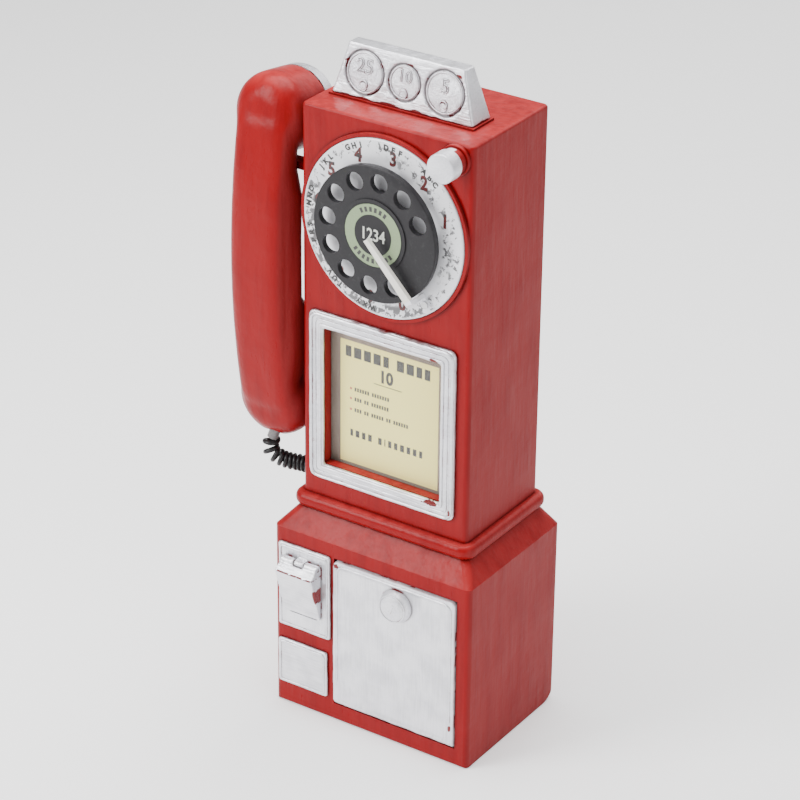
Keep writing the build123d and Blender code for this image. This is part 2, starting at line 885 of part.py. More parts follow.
def vault_door():
    door = block(door_left, door_right, door_face, door_back, door_axis_z, door_top)
    door = fillet(door.faces().sort_by(Axis.Z)[-1].edges().filter_by(Axis.Y), 2.0)
    door += rod_x(door_axis_y, door_axis_z, door_thickness / 2, door_left, door_right)
    border = block(door_left + 2.4, door_right - 2.4, door_face, door_face + 0.5,
                   door_axis_z, door_top - 2.4)
    door -= border
    door -= rod_y(lock_x, lock_z, lock_shaft_radius + running, door_face, door_back)
    for x0, x1 in ((door_left, door_left + door_pin_in_door + slip),
                   (door_right - door_pin_in_door - slip, door_right)):
        door -= rod_x(door_axis_y, door_axis_z, door_pin_radius + running, x0, x1)
    return door


def door_hinge_pins():
    left = rod_x(door_axis_y, door_axis_z, door_pin_radius,
                 door_left - door_gap - door_pin_in_base, door_left + door_pin_in_door)
    right = rod_x(door_axis_y, door_axis_z, door_pin_radius,
                  door_right - door_pin_in_door, door_right + door_gap + door_pin_in_base)
    return joined([left, right])


def lock_seat():
    return door_face + 0.5


def lock_knob():
    """A domed disc on a shaft that runs through the door."""
    back = lock_seat() - 0.1
    dome = rod_y(lock_x, lock_z, lock_radius, back - lock_proud, back)
    dome = fillet(dome.faces().sort_by(Axis.Y)[0].edges(), lock_proud * 0.8)
    return dome + rod_y(lock_x, lock_z, lock_shaft_radius, back,
                        cam_front + cam_thickness + nut_thickness)


def lock_cam():
    end = lock_x - cam_length
    half = cam_width / 2
    cam = block(end, lock_x, cam_front, cam_front + cam_thickness, lock_z - half, lock_z + half)
    cam += rod_y(lock_x, lock_z, nut_radius, cam_front, cam_front + cam_thickness)
    return cam - rod_y(lock_x, lock_z, lock_shaft_radius + seat, cam_front,
                       cam_front + cam_thickness)


def lock_nut():
    start = cam_front + cam_thickness
    hexagon = Plane((lock_x, start, lock_z), x_dir=(1, 0, 0), z_dir=(0, 1, 0)) * extrude(
        RegularPolygon(nut_radius, 6), amount=nut_thickness
    )
    return hexagon - rod_y(lock_x, lock_z, lock_shaft_radius + seat, start, start + nut_thickness)


def lock_spacer():
    """A sleeve on the lock's shaft that holds the cam behind the door's stop lip."""
    start = door_back + 0.1
    ring = rod_y(lock_x, lock_z, nut_radius, start, cam_front)
    return ring - rod_y(lock_x, lock_z, lock_shaft_radius + seat, start, cam_front)


# ---------------------------------------------------------------- handset and hook


def handset_shell():
    half = handle_width / 2
    middle = (ear_z + mouth_z) / 2
    front = ThreePointArc((0, handle_front_end_y, mouth_z), (0, handle_front_mid_y, middle),
                          (0, handle_front_end_y, ear_z))
    back = ThreePointArc((0, handle_back_end_y, ear_z), (0, handle_back_mid_y, middle),
                         (0, handle_back_end_y, mouth_z))
    top = Line((0, handle_front_end_y, ear_z), (0, handle_back_end_y, ear_z))
    low = Line((0, handle_back_end_y, mouth_z), (0, handle_front_end_y, mouth_z))
    profile = make_face(Wire([front, top, back, low]))
    bar = Pos(handset_x - half, 0, 0) * extrude(profile, amount=handle_width, dir=(1, 0, 0))
    long_edges = bar.edges().filter_by(GeomType.CIRCLE).sort_by(Axis.Y)
    bar = fillet(long_edges[:2], handle_front_edge)
    long_edges = bar.edges().filter_by(GeomType.CIRCLE).sort_by(Axis.Y)
    shell = fillet(long_edges[-2:], handle_back_edge)
    half_drum = drum_length / 2
    for frame in (ear_frame, mouth_frame):
        drum = turned(drum_radius, -half_drum, half_drum)
        shell += frame * fillet(drum.faces().sort_by(Axis.Z)[0].edges(), drum_front_edge)
    for frame in (ear_frame, mouth_frame):
        shell -= frame * turned(spigot_radius + seat, half_drum - spigot_length - 0.2, half_drum)
    return shell - gland_axis() * Cylinder(
        gland_radius + seat, gland_length + 0.2, align=(Align.CENTER, Align.CENTER, Align.MIN)
    )


def cap(frame):
    """A silver end cap with a shallow dish and a spigot in the drum."""
    seat_at = drum_length / 2
    end = turned(cap_radius, seat_at, seat_at + cap_depth)
    end = fillet(end.faces().sort_by(Axis.Z)[-1].edges(), cap_edge)
    end -= turned(cap_dish_radius, seat_at + cap_depth - cap_dish_depth, seat_at + cap_depth)
    return frame * (end + turned(spigot_radius, seat_at - spigot_length, seat_at))


def gland_axis():
    """A plane at the cord's upper end, looking back up into the mouthpiece."""
    start = Vector(*cord_route[0])
    ahead = Vector(*cord_route[1])
    return Plane(start, z_dir=start - ahead)


def cord_gland():
    """The grey peg in the mouthpiece that the curly cord is pushed onto."""
    peg = Cylinder(gland_radius, gland_length, align=(Align.CENTER, Align.CENTER, Align.MIN))
    return gland_axis() * peg


def hook_screw_places():
    z = hook_arm_top - hook_arm_height
    return [(hook_centre_y + 1.2, z - 3.8), (hook_centre_y + 1.2, z - 9.8)]


def handset_hook():
    top = hook_arm_top
    half = hook_arm_depth / 2
    half_plate = half + hook_plate_margin
    plate = block(-column_side - hook_plate, -column_side, hook_centre_y - half_plate,
                  hook_centre_y + half_plate, top - hook_plate_height, top + hook_plate_margin)
    plate = fillet(plate.edges().filter_by(Axis.X), 1.5)
    arm = block(hook_end_x, -column_side - hook_plate, hook_centre_y - half, hook_centre_y + half,
                top - hook_arm_height, top)
    end = block(hook_end_x, hook_end_x + hook_end_thickness, hook_centre_y - half,
                hook_centre_y + half, top - hook_arm_height, top + hook_end_rise)
    end = fillet(end.edges().filter_by(Axis.Y), 1.0)
    hook = plate + arm + end
    for y, z in hook_screw_places():
        hook -= rod_x(y, z, small_screw_radius + 0.1, -column_side - hook_plate, -column_side)
    return hook


def hook_screws():
    pieces = []
    for y, z in hook_screw_places():
        face = -column_side - hook_plate
        head = rod_x(y, z, small_head_radius, face - small_head, face)
        pieces.append(head + rod_x(y, z, small_screw_radius, face, -column_inner_side - 0.2))
    return joined(pieces)


# ---------------------------------------------------------------- curly cord


def corner_radii(points):
    radii = []
    for before, here, after in zip(points, points[1:], points[2:]):
        run_in = Vector(*here) - Vector(*before)
        run_out = Vector(*after) - Vector(*here)
        half_turn = math.radians(run_in.get_angle(run_out)) / 2
        radii.append(0.48 * min(run_in.length, run_out.length) / math.tan(half_turn))
    return radii


def curly_cord():
    """The coiled cord's outer shape: one tube between the handset's peg and the grommet."""
    radii = corner_radii(cord_route)
    path = FilletPolyline(*cord_route, radius=radii)
    section = Plane(path @ 0, z_dir=path % 0) * Circle(cord_diameter / 2)
    tube = sweep(section, path=path)
    expected = math.pi * (cord_diameter / 2) ** 2 * path.length
    print("cord radii", [round(r, 2) for r in radii], "length", round(path.length, 2),
          "volume", round(tube.volume, 1), "expected", round(expected, 1))
    return tube


def cord_grommet():
    _, y, z = cord_route[-1]
    collar = rod_x(y, z, grommet_radius, -column_side - grommet_proud, -column_side)
    return collar + rod_x(y, z, grommet_tail_radius, -column_side, -column_inner_side)


# ---------------------------------------------------------------- the set of pieces

pieces = {
    "upper_housing": upper_housing,
    "lower_housing": lower_housing,
    "bottom_plate": bottom_plate,
    "bottom_screws": bottom_screws,
    "felt_pad": felt_pad,
    "joining_screws": joining_screws,
    "coin_head": coin_head,
    "coin_head_screws": coin_head_screws,
    "dial_plate": dial_plate,
    "dial_plate_screws": dial_plate_screws,
    "finger_wheel": finger_wheel,
    "number_card": number_card,
    "dial_spindle": dial_spindle,
    "spindle_clip": spindle_clip,
    "finger_stop": finger_stop,
    "finger_stop_rivet": finger_stop_rivet,
    "release_barrel": release_barrel,
    "release_button": release_button,
    "release_clip": release_clip,
    "release_spring": release_spring,
    "window_frame": window_frame,
    "window_pane": window_pane,
    "instruction_card": instruction_card,
    "card_backing": card_backing,
    "card_backing_screws": card_backing_screws,
    "coin_return_bezel": coin_return_bezel,
    "coin_return_cup": coin_return_cup,
    "coin_return_flap": coin_return_flap,
    "flap_hinge_pin": flap_hinge_pin,
    "blank_plate": blank_plate,
    "vault_door": vault_door,
    "door_hinge_pins": door_hinge_pins,
    "lock_knob": lock_knob,
    "lock_spacer": lock_spacer,
    "lock_cam": lock_cam,
    "lock_nut": lock_nut,
    "handset_shell": handset_shell,
    "ear_cap": lambda: cap(ear_frame),
    "mouth_cap": lambda: cap(mouth_frame),
    "cord_gland": cord_gland,
    "handset_hook": handset_hook,
    "hook_screws": hook_screws,
    "curly_cord": curly_cord,
    "cord_grommet": cord_grommet,
}
for disc_name in coin_radii:
    pieces[disc_name] = lambda name=disc_name: coin_disc(name)

os.makedirs("parts", exist_ok=True)
for node_name, build in pieces.items():
    export_step(build(), f"parts/{node_name}.step")
print(len(pieces), "nodes")
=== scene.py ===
import json
import math

import bpy
from bpy.props import FloatProperty, FloatVectorProperty, PointerProperty
from mathutils import Euler, Matrix, Vector


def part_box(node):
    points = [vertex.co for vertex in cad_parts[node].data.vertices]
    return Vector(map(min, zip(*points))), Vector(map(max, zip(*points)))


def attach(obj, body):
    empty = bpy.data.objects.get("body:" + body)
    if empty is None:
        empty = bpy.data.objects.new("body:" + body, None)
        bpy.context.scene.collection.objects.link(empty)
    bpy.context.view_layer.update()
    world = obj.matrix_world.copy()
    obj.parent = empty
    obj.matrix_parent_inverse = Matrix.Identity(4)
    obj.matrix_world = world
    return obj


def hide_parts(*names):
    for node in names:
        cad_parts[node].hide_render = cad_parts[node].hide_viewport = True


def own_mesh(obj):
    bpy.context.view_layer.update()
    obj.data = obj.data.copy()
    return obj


bl_info = {
    "name": "Wall Telephone Display Model",
    "version": (1, 0, 0),
    "blender": (4, 5, 0),
    "location": "View3D > Sidebar > Telephone",
    "description": "Finishes the castings, dial, window, cord and stage of a display telephone",
    "category": "Object",
}

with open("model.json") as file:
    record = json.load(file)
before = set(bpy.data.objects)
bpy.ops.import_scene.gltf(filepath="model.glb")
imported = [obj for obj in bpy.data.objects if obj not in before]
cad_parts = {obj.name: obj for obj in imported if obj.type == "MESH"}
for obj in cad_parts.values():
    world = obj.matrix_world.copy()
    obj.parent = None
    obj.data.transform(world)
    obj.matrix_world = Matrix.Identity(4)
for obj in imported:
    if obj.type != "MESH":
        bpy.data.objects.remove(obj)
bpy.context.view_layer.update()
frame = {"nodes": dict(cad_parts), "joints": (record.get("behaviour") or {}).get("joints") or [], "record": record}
nodes = frame["nodes"]
body_of_node = {
    node: body for body, names in frame["record"]["behaviour"]["bodies"].items() for node in names
}
slot_of_node = {part["node"]: part["material_slot"] for part in frame["record"]["subparts"]}
MM = 0.001


def ramp(value, low, high):
    """0 at low, 1 at high and straight between, in either order."""
    return min(1.0, max(0.0, (value - low) / (high - low)))


def box_middle(node):
    low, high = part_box(node)
    return (Vector(low) + Vector(high)) / 2


dial_middle = box_middle("dial_plate")


# ---------------------------------------------------------------- settings


class TelephoneSizes(bpy.types.PropertyGroup):
    """Sizes that a maker of this model would change."""

    wire: FloatProperty(
        name="Cord wire", description="Thickness of the cord's wire",
        default=1.85 * MM, min=1 * MM, max=3 * MM, unit="LENGTH", precision=5)
    coil: FloatProperty(
        name="Cord coil", description="Diameter over the coiled cord",
        default=6.9 * MM, min=4 * MM, max=9 * MM, unit="LENGTH", precision=5)
    open_pitch: FloatProperty(
        name="Open pitch", description="Distance between the turns beside the handset",
        default=3.3 * MM, min=2 * MM, max=6 * MM, unit="LENGTH", precision=5)
    close_pitch: FloatProperty(
        name="Close pitch", description="Distance between the turns beside the column",
        default=1.97 * MM, min=1.9 * MM, max=4 * MM, unit="LENGTH", precision=5)
    digit: FloatProperty(
        name="Dial digit", description="Letter size of the digits round the dial",
        default=7.4 * MM, unit="LENGTH", precision=5)
    letter: FloatProperty(
        name="Dial letter", description="Letter size of the letters round the dial",
        default=3.0 * MM, unit="LENGTH", precision=5)
    coin_digit: FloatProperty(
        name="Coin digit", description="Letter size of the values on the coin discs",
        default=7.4 * MM, unit="LENGTH", precision=5)


def colour(label, note, value):
    return FloatVectorProperty(name=label, description=note, default=value, size=4,
                               min=0.0, max=1.0, subtype="COLOR")


class TelephoneColours(bpy.types.PropertyGroup):
    """Colours of the paints and materials."""

    red: colour("Red enamel", "Paint of the castings", (0.235, 0.0045, 0.0062, 1))
    deep_red: colour("Deep red", "Red enamel where it is thin", (0.155, 0.003, 0.0045, 1))
    # painted light: the next two reds stand for the haze of light on the sides and the light on faces that look up
    side_sheen_red: colour("Side sheen red", "Red enamel on the rougher sides, painted sheen", (0.19, 0.013, 0.013, 1))
    top_lit_red: colour("Top lit red", "Red enamel on faces that look up, painted light", (0.38, 0.028, 0.028, 1))
    silver: colour("Silver paint", "Paint of the trims", (0.82, 0.82, 0.86, 1))
    dull_silver: colour("Dull silver", "Silver paint where it is thin", (0.56, 0.56, 0.6, 1))
    black: colour("Wheel black", "Finger wheel", (0.019, 0.018, 0.02, 1))
    ring: colour("Label ring", "Printed ring of the dial's centre", (0.2, 0.27, 0.15, 1))
    maroon: colour("Maroon", "Digits of the dial", (0.11, 0.012, 0.012, 1))
    ink: colour("Ink", "Black ink", (0.03, 0.028, 0.028, 1))
    card: colour("Card", "Instruction card", (0.97, 0.87, 0.27, 1))
    border: colour("Card border", "Border of the instruction card", (0.13, 0.095, 0.068, 1))
    bone: colour("Bone white", "Finger stop", (0.8, 0.78, 0.71, 1))
    cord: colour("Cord black", "Coiled cord", (0.012, 0.011, 0.012, 1))
    peg: colour("Peg grey", "Peg inside the cord", (0.16, 0.15, 0.15, 1))
    steel: colour("Steel", "Screws and pins", (0.55, 0.55, 0.56, 1))
    felt: colour("Felt", "Pad under the base", (0.025, 0.06, 0.03, 1))
    floor: colour("Floor", "Floor of the stage", (0.93, 0.93, 0.93, 1))


# ---------------------------------------------------------------- paint


class Number:
    """A socket of a material that can be written in sums."""

    def __init__(self, paint, socket):
        self.paint = paint
        self.socket = socket

    def _sum(self, operation, *values):
        node = self.paint.add("ShaderNodeMath", {"operation": operation},
                              dict(enumerate(values)))
        return Number(self.paint, node.outputs[0])

    def __add__(self, other):
        return self._sum("ADD", self, other)

    def __radd__(self, other):
        return self._sum("ADD", other, self)

    def __sub__(self, other):
        return self._sum("SUBTRACT", self, other)

    def __rsub__(self, other):
        return self._sum("SUBTRACT", other, self)

    def __mul__(self, other):
        return self._sum("MULTIPLY", self, other)

    def __truediv__(self, other):
        return self._sum("DIVIDE", self, other)

    def __abs__(self):
        return self._sum("ABSOLUTE", self)

    def root(self):
        return self._sum("SQRT", self)

    def most(self, other):
        return self._sum("MAXIMUM", self, other)

    def step(self, low, high):
        """0 at low, 1 at high and smooth between, in either order."""
        node = self.paint.add(
            "ShaderNodeMapRange", {"interpolation_type": "SMOOTHSTEP", "clamp": True},
            {"Value": self, "From Min": low, "From Max": high, "To Min": 0.0, "To Max": 1.0})
        return Number(self.paint, node.outputs[0])


class Paint:
    """A material that is built up from noise, masks and colours."""

    def __init__(self, name):
        self.material = bpy.data.materials.new(name)
        self.material.use_nodes = True
        self.tree = self.material.node_tree
        self.shader = next(n for n in self.tree.nodes if n.type == "BSDF_PRINCIPLED")
        self.colours = bpy.context.scene.telephone_colours
        coords = self.add("ShaderNodeTexCoord")
        self.where = coords.outputs["Object"]
        parts = self.add("ShaderNodeSeparateXYZ", inputs={0: self.where})
        self.x, self.y, self.z = (Number(self, parts.outputs[k]) * 1000.0 for k in range(3))

    def add(self, kind, settings=None, inputs=None):
        node = self.tree.nodes.new(kind)
        for key, value in (settings or {}).items():
            setattr(node, key, value)
        for key, value in (inputs or {}).items():
            self.feed(node.inputs[key], value)
        return node

    def feed(self, socket, value):
        if isinstance(value, Number):
            value = value.socket
        if isinstance(value, bpy.types.NodeSocket):
            self.tree.links.new(value, socket)
        else:
            socket.default_value = value

    def noise(self, scale, stretch=(1, 1, 1), detail=3.0, rough=0.5, warp=0.0):
        """Noise with scale features to the metre, drawn out where stretch is small."""
        spread = self.add("ShaderNodeMapping", inputs={"Vector": self.where, "Scale": stretch})
        node = self.add("ShaderNodeTexNoise", inputs={
            "Vector": spread.outputs[0], "Scale": scale, "Detail": detail,
            "Roughness": rough, "Distortion": warp})
        return Number(self, node.outputs[0])

    def mix(self, share, a, b):
        node = self.add("ShaderNodeMix", {"data_type": "RGBA"}, {0: share, 6: a, 7: b})
        return node.outputs[2]

    def from_dial(self):
        """How far a place is across, along and away from the dial's middle, in millimetres."""
        across = self.x - dial_middle.x / MM
        along = self.z - dial_middle.z / MM
        return across, along, (across * across + along * along).root()

    def normal_part(self, axis):
        """How far the surface faces along one axis, from -1 to 1."""
        facing = self.add("ShaderNodeNewGeometry")
        parts = self.add("ShaderNodeSeparateXYZ", inputs={0: facing.outputs["Normal"]})
        return Number(self, parts.outputs["XYZ".index(axis)])

    def blob(self, x, z, reach_x, reach_z, raggedness=1.0):
        """1 inside a ragged patch round (x, z) in millimetres, 0 outside."""
        across = (self.x - x) / reach_x
        along = (self.z - z) / reach_z
        ragged = (self.noise(900, detail=2.0) - 0.5) * (2.4 * raggedness)
        return (across * across + along * along + ragged).step(1.1, 0.8)

    def shade_in_crevices(self, reach):
        """1 in corners that something stands over within reach metres, 0 in the open; it places painted shade in
        crevices.
        """
        node = self.add("ShaderNodeAmbientOcclusion", {"samples": 6}, {"Distance": reach})
        return Number(self, node.outputs["AO"]).step(0.9, 0.5)

    def bump(self, height, distance):
        node = self.add("ShaderNodeBump", inputs={
            "Height": height, "Distance": distance, "Strength": 1.0})
        return node.outputs["Normal"]

    def finish(self, **sockets):
        for key, value in sockets.items():
            self.feed(self.shader.inputs[key.replace("_", " ")], value)
        return self.material


def enamel(name, brush="Z", patches=()):
    """Hand-brushed red enamel on a casting: mottled, with brush lines and small pits, with painted sheen on its
    sides, a painted top light on faces that look up and painted shade in its crevices.
    """
    p = Paint(name)
    mottle = p.noise(45, detail=4.0)
    draw = {"X": (0.12, 1, 1), "Z": (1, 1, 0.12)}[brush]
    streaks = p.noise(900, stretch=draw, detail=3.0, rough=0.6)
    broad = p.noise(260, stretch=draw, detail=2.0)
    side = abs(p.normal_part("X")).step(0.5, 0.95)
    pits = p.noise(2600, detail=1.0).step(0.73, 0.8)
    thin = (broad * 0.55 + mottle * 0.45).step(0.42, 0.66)
    top_light = p.normal_part("Z").step(0.5, 0.95)
    # painted sheen: a hazier red on the sides; painted light: a lighter red on faces that look up
    ground = p.mix(side * 0.8, p.colours.red, p.colours.side_sheen_red)
    ground = p.mix(top_light * 0.8, ground, p.colours.top_lit_red)
    tint = p.mix(thin * 0.5, ground, p.colours.deep_red)
    tint = p.mix(pits * side * 0.5, tint, (0.12, 0.004, 0.004, 1))
    # painted shade: a darker red in crevices that ambient occlusion finds
    tint = p.mix(p.shade_in_crevices(0.0015) * 0.7, tint, (0.045, 0.002, 0.002, 1))
    for mask, patch_colour in patches:
        tint = p.mix(mask(p), tint, patch_colour)
    rough = 0.2 + streaks * 0.12 + mottle * 0.08 + side * 0.2
    height = streaks * (0.12 + side * 0.16) + broad * 0.8 + mottle * 3.0 - pits * side * 1.2
    return p.finish(Base_Color=tint, Roughness=rough, Specular_IOR_Level=0.12,
                    Normal=p.bump(height, 0.0003))


def silver(name, brush="X", gaps=()):
    """Brushed silver paint with gaps where the red below shows, and with painted shade in its crevices."""
    p = Paint(name)
    draw = {"X": (0.06, 1, 1), "Z": (1, 1, 0.06), "none": (1, 1, 1)}[brush]
    streaks = p.noise(1300, stretch=draw, detail=3.0, rough=0.6)
    cloud = p.noise(110, detail=3.0)
    flakes = p.noise(5200, detail=1.0)
    shade = (streaks * 0.4 + cloud * 0.6).step(0.36, 0.7)
    tint = p.mix(shade * 0.75, p.colours.silver, p.colours.dull_silver)
    tint = p.mix(flakes.step(0.6, 0.75) * 0.25, tint, (0.9, 0.9, 0.92, 1))
    # painted shade: the silver darkens to grey in crevices that ambient occlusion finds; patches of these crevices
    # also show the red below
    smears_and_shade = p.shade_in_crevices(0.0011)
    tint = p.mix(smears_and_shade * 0.75, tint, (0.24, 0.21, 0.215, 1))
    bare = smears_and_shade * p.noise(260, detail=2.0).step(0.55, 0.6)
    for gap in gaps:
        bare = bare.most(gap(p))
    tint = p.mix(bare, tint, p.colours.deep_red)
    metal = (1.0 - bare.most(smears_and_shade)) * 0.8
    height = streaks * 0.8 + cloud * 3.5 + flakes * 0.2 - bare * 1.5
    return p.finish(Base_Color=tint, Metallic=metal, Roughness=0.25 + streaks * 0.2,
                    Specular_IOR_Level=0.4, Normal=p.bump(height, 0.00026))


def plain(name, tint, roughness=0.5, metallic=0.0, grain=900.0, depth=0.00005, fuzz=0.0):
    """A one-colour material with its own fine grain."""
    p = Paint(name)
    fine = p.noise(grain, detail=3.0)
    broad = p.noise(grain / 8, detail=2.0)
    shade = p.mix((fine * 0.6 + broad * 0.4).step(0.35, 0.7) * 0.5, tint,
                  tuple(c * 0.62 for c in tuple(tint)[:3]) + (1,))
    rough = roughness + (fine - 0.5) * 0.2
    return p.finish(Base_Color=shade, Metallic=metallic, Roughness=rough,
                    Sheen_Weight=fuzz, Normal=p.bump(fine, depth))


# ---------------------------------------------------------------- modelling


def deselect():
    if bpy.context.object and bpy.context.object.mode != "OBJECT":
        bpy.ops.object.mode_set(mode="OBJECT")
    bpy.ops.object.select_all(action="DESELECT")


def select(*things):
    deselect()
    for thing in things:
        thing.select_set(True)
    bpy.context.view_layer.objects.active = things[0]


def dress(obj, material):
    obj.data.materials.clear()
    obj.data.materials.append(material)
    for face in obj.data.polygons:
        face.material_index = 0


def dress_node(node, material):
    obj = nodes[node]
    for index in range(len(obj.material_slots)):
        obj.material_slots[index].material = material
    if not obj.material_slots:
        obj.data.materials.append(material)


def smooth_casting(node, name, material, angle=32):
    """A joined-up copy of a CAD node with smooth faces, which stands for it."""
    weld = 0.000004
    source = nodes[node]
    piece = bpy.data.objects.new(name, source.data.copy())
    bpy.context.scene.collection.objects.link(piece)
    select(piece)
    bpy.ops.object.mode_set(mode="EDIT")
    bpy.ops.mesh.select_all(action="SELECT")
    bpy.ops.mesh.remove_doubles(threshold=weld)
    bpy.ops.mesh.select_all(action="DESELECT")
    bpy.ops.object.mode_set(mode="OBJECT")
    if piece.data.has_custom_normals:
        bpy.ops.mesh.customdata_custom_splitnormals_clear()
    bpy.ops.object.shade_smooth_by_angle(angle=math.radians(angle))
    dress(piece, material)
    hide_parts(node)
    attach(piece, body_of_node[node])
    return piece


def hand_cast(piece, voxel, rounds, wobble):
    """Softens a piece's edges and makes its faces uneven, as in a hand-finished casting.

    voxel is the new mesh's grain and wobble the depth of the unevenness, in millimetres.
    """
    edge_angle = 40
    cloud_size = 0.007
    select(piece)
    remesh = piece.modifiers.new("even mesh", "REMESH")
    remesh.mode = "VOXEL"
    remesh.voxel_size = voxel * MM
    bpy.ops.object.modifier_apply(modifier=remesh.name)
    soften = piece.modifiers.new("soft edges", "SMOOTH")
    soften.factor = 0.5
    soften.iterations = rounds
    bpy.ops.object.modifier_apply(modifier=soften.name)
    clouds = bpy.data.textures.new(piece.name + "_wobble", "CLOUDS")
    clouds.noise_scale = cloud_size
    uneven = piece.modifiers.new("uneven", "DISPLACE")
    uneven.texture = clouds
    uneven.texture_coords = "LOCAL"
    uneven.strength = wobble * MM
    uneven.mid_level = 0.5
    bpy.ops.object.modifier_apply(modifier=uneven.name)
    bpy.ops.object.shade_smooth_by_angle(angle=math.radians(edge_angle))


def set_in_mesh(obj, place):
    """Moves a selected mesh to a place and writes that place into its vertices."""
    obj.matrix_world = place
    bpy.ops.object.transform_apply(location=True, rotation=True, scale=True)


def tube_frame(name, width, height, corner, thickness, place):
    """A rounded rectangle bent from round wire, centred on a place and facing the front."""
    deselect()
    bpy.ops.mesh.primitive_plane_add(size=1)
    obj = bpy.context.object
    obj.name = name
    obj.scale = (width, height, 1)
    bpy.ops.object.transform_apply(scale=True)
    bpy.ops.object.mode_set(mode="EDIT")
    bpy.ops.mesh.select_all(action="SELECT")
    bpy.ops.mesh.bevel(offset=corner, segments=4, affect="VERTICES")
    bpy.ops.mesh.select_all(action="SELECT")
    bpy.ops.mesh.delete(type="ONLY_FACE")
    bpy.ops.object.mode_set(mode="OBJECT")
    return wire_mesh(obj, thickness, place)


def wire_ring(name, radius, thickness, place):
    """A ring of round wire that faces the front."""
    deselect()
    bpy.ops.mesh.primitive_circle_add(vertices=40, radius=radius)
    bpy.context.object.name = name
    return wire_mesh(bpy.context.object, thickness, place)


def wire_mesh(obj, thickness, place):
    """Turns a loop of edges into round wire with its place in the mesh."""
    bpy.ops.object.convert(target="CURVE")
    obj = bpy.context.object
    obj.data.bevel_depth = thickness / 2
    obj.data.bevel_resolution = 2
    bpy.ops.object.convert(target="MESH")
    obj = bpy.context.object
    set_in_mesh(obj, place)
    bpy.ops.object.shade_smooth()
    return obj


def join(name, parts, material, body):
    select(*parts)
    if len(parts) > 1:
        bpy.ops.object.join()
    piece = bpy.context.object
    piece.name = name
    dress(piece, material)
    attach(piece, body)
    return piece


def standing(x, y, z, turn=0.0):
    """Text laid in the XY plane stood up at a place, facing the front."""
    return Matrix.Translation((x, y, z)) @ Euler((math.pi / 2, 0, 0)).to_matrix().to_4x4() \
        @ Matrix.Rotation(turn, 4, "Z")


def text_curve(text, size):
    """Centred text as a curve, still to be given its thickness."""
    deselect()
    bpy.ops.object.text_add()
    curve = bpy.context.object.data
    curve.body = text
    curve.size = size
    curve.align_x = "CENTER"
    curve.align_y = "CENTER"
    return curve


def text_mesh(place, squeeze):
    """Turns the text that is selected into a mesh, narrowed by squeeze."""
    bpy.ops.object.convert(target="MESH")
    obj = bpy.context.object
    set_in_mesh(obj, place @ Matrix.Diagonal((squeeze, 1, 1, 1)))
    return obj


def lettering(text, size, thickness, place, squeeze=1.0, weight=0.0):
    """Raised lettering as a mesh with its place in the mesh."""
    curve = text_curve(text, size)
    curve.extrude = thickness / 2
    curve.offset = weight
    curve.resolution_u = 4
    return text_mesh(place, squeeze)


def outline(text, size, thickness, place):
    """Lettering drawn by its outline in round wire, as a mesh with its place in the mesh."""
    curve = text_curve(text, size)
    curve.fill_mode = "NONE"
    curve.bevel_depth = thickness / 2
    curve.bevel_resolution = 1
    curve.resolution_u = 3
    obj = text_mesh(place, 1.0)
    bpy.ops.object.shade_smooth()
    return obj


def tile(width, height, thickness, place):
    """A small softened block of print with its place in the mesh."""
    deselect()
    bpy.ops.mesh.primitive_cube_add(size=1)
    obj = bpy.context.object
    set_in_mesh(obj, place @ Matrix.Diagonal((width, height, thickness, 1)))
    modifier = obj.modifiers.new("soft edge", "BEVEL")
    modifier.width = min(width, height) * 0.18
    modifier.segments = 2
    modifier.limit_method = "NONE"
    modifier.use_clamp_overlap = True
    bpy.ops.object.modifier_apply(modifier=modifier.name)
    return obj


# ---------------------------------------------------------------- operators


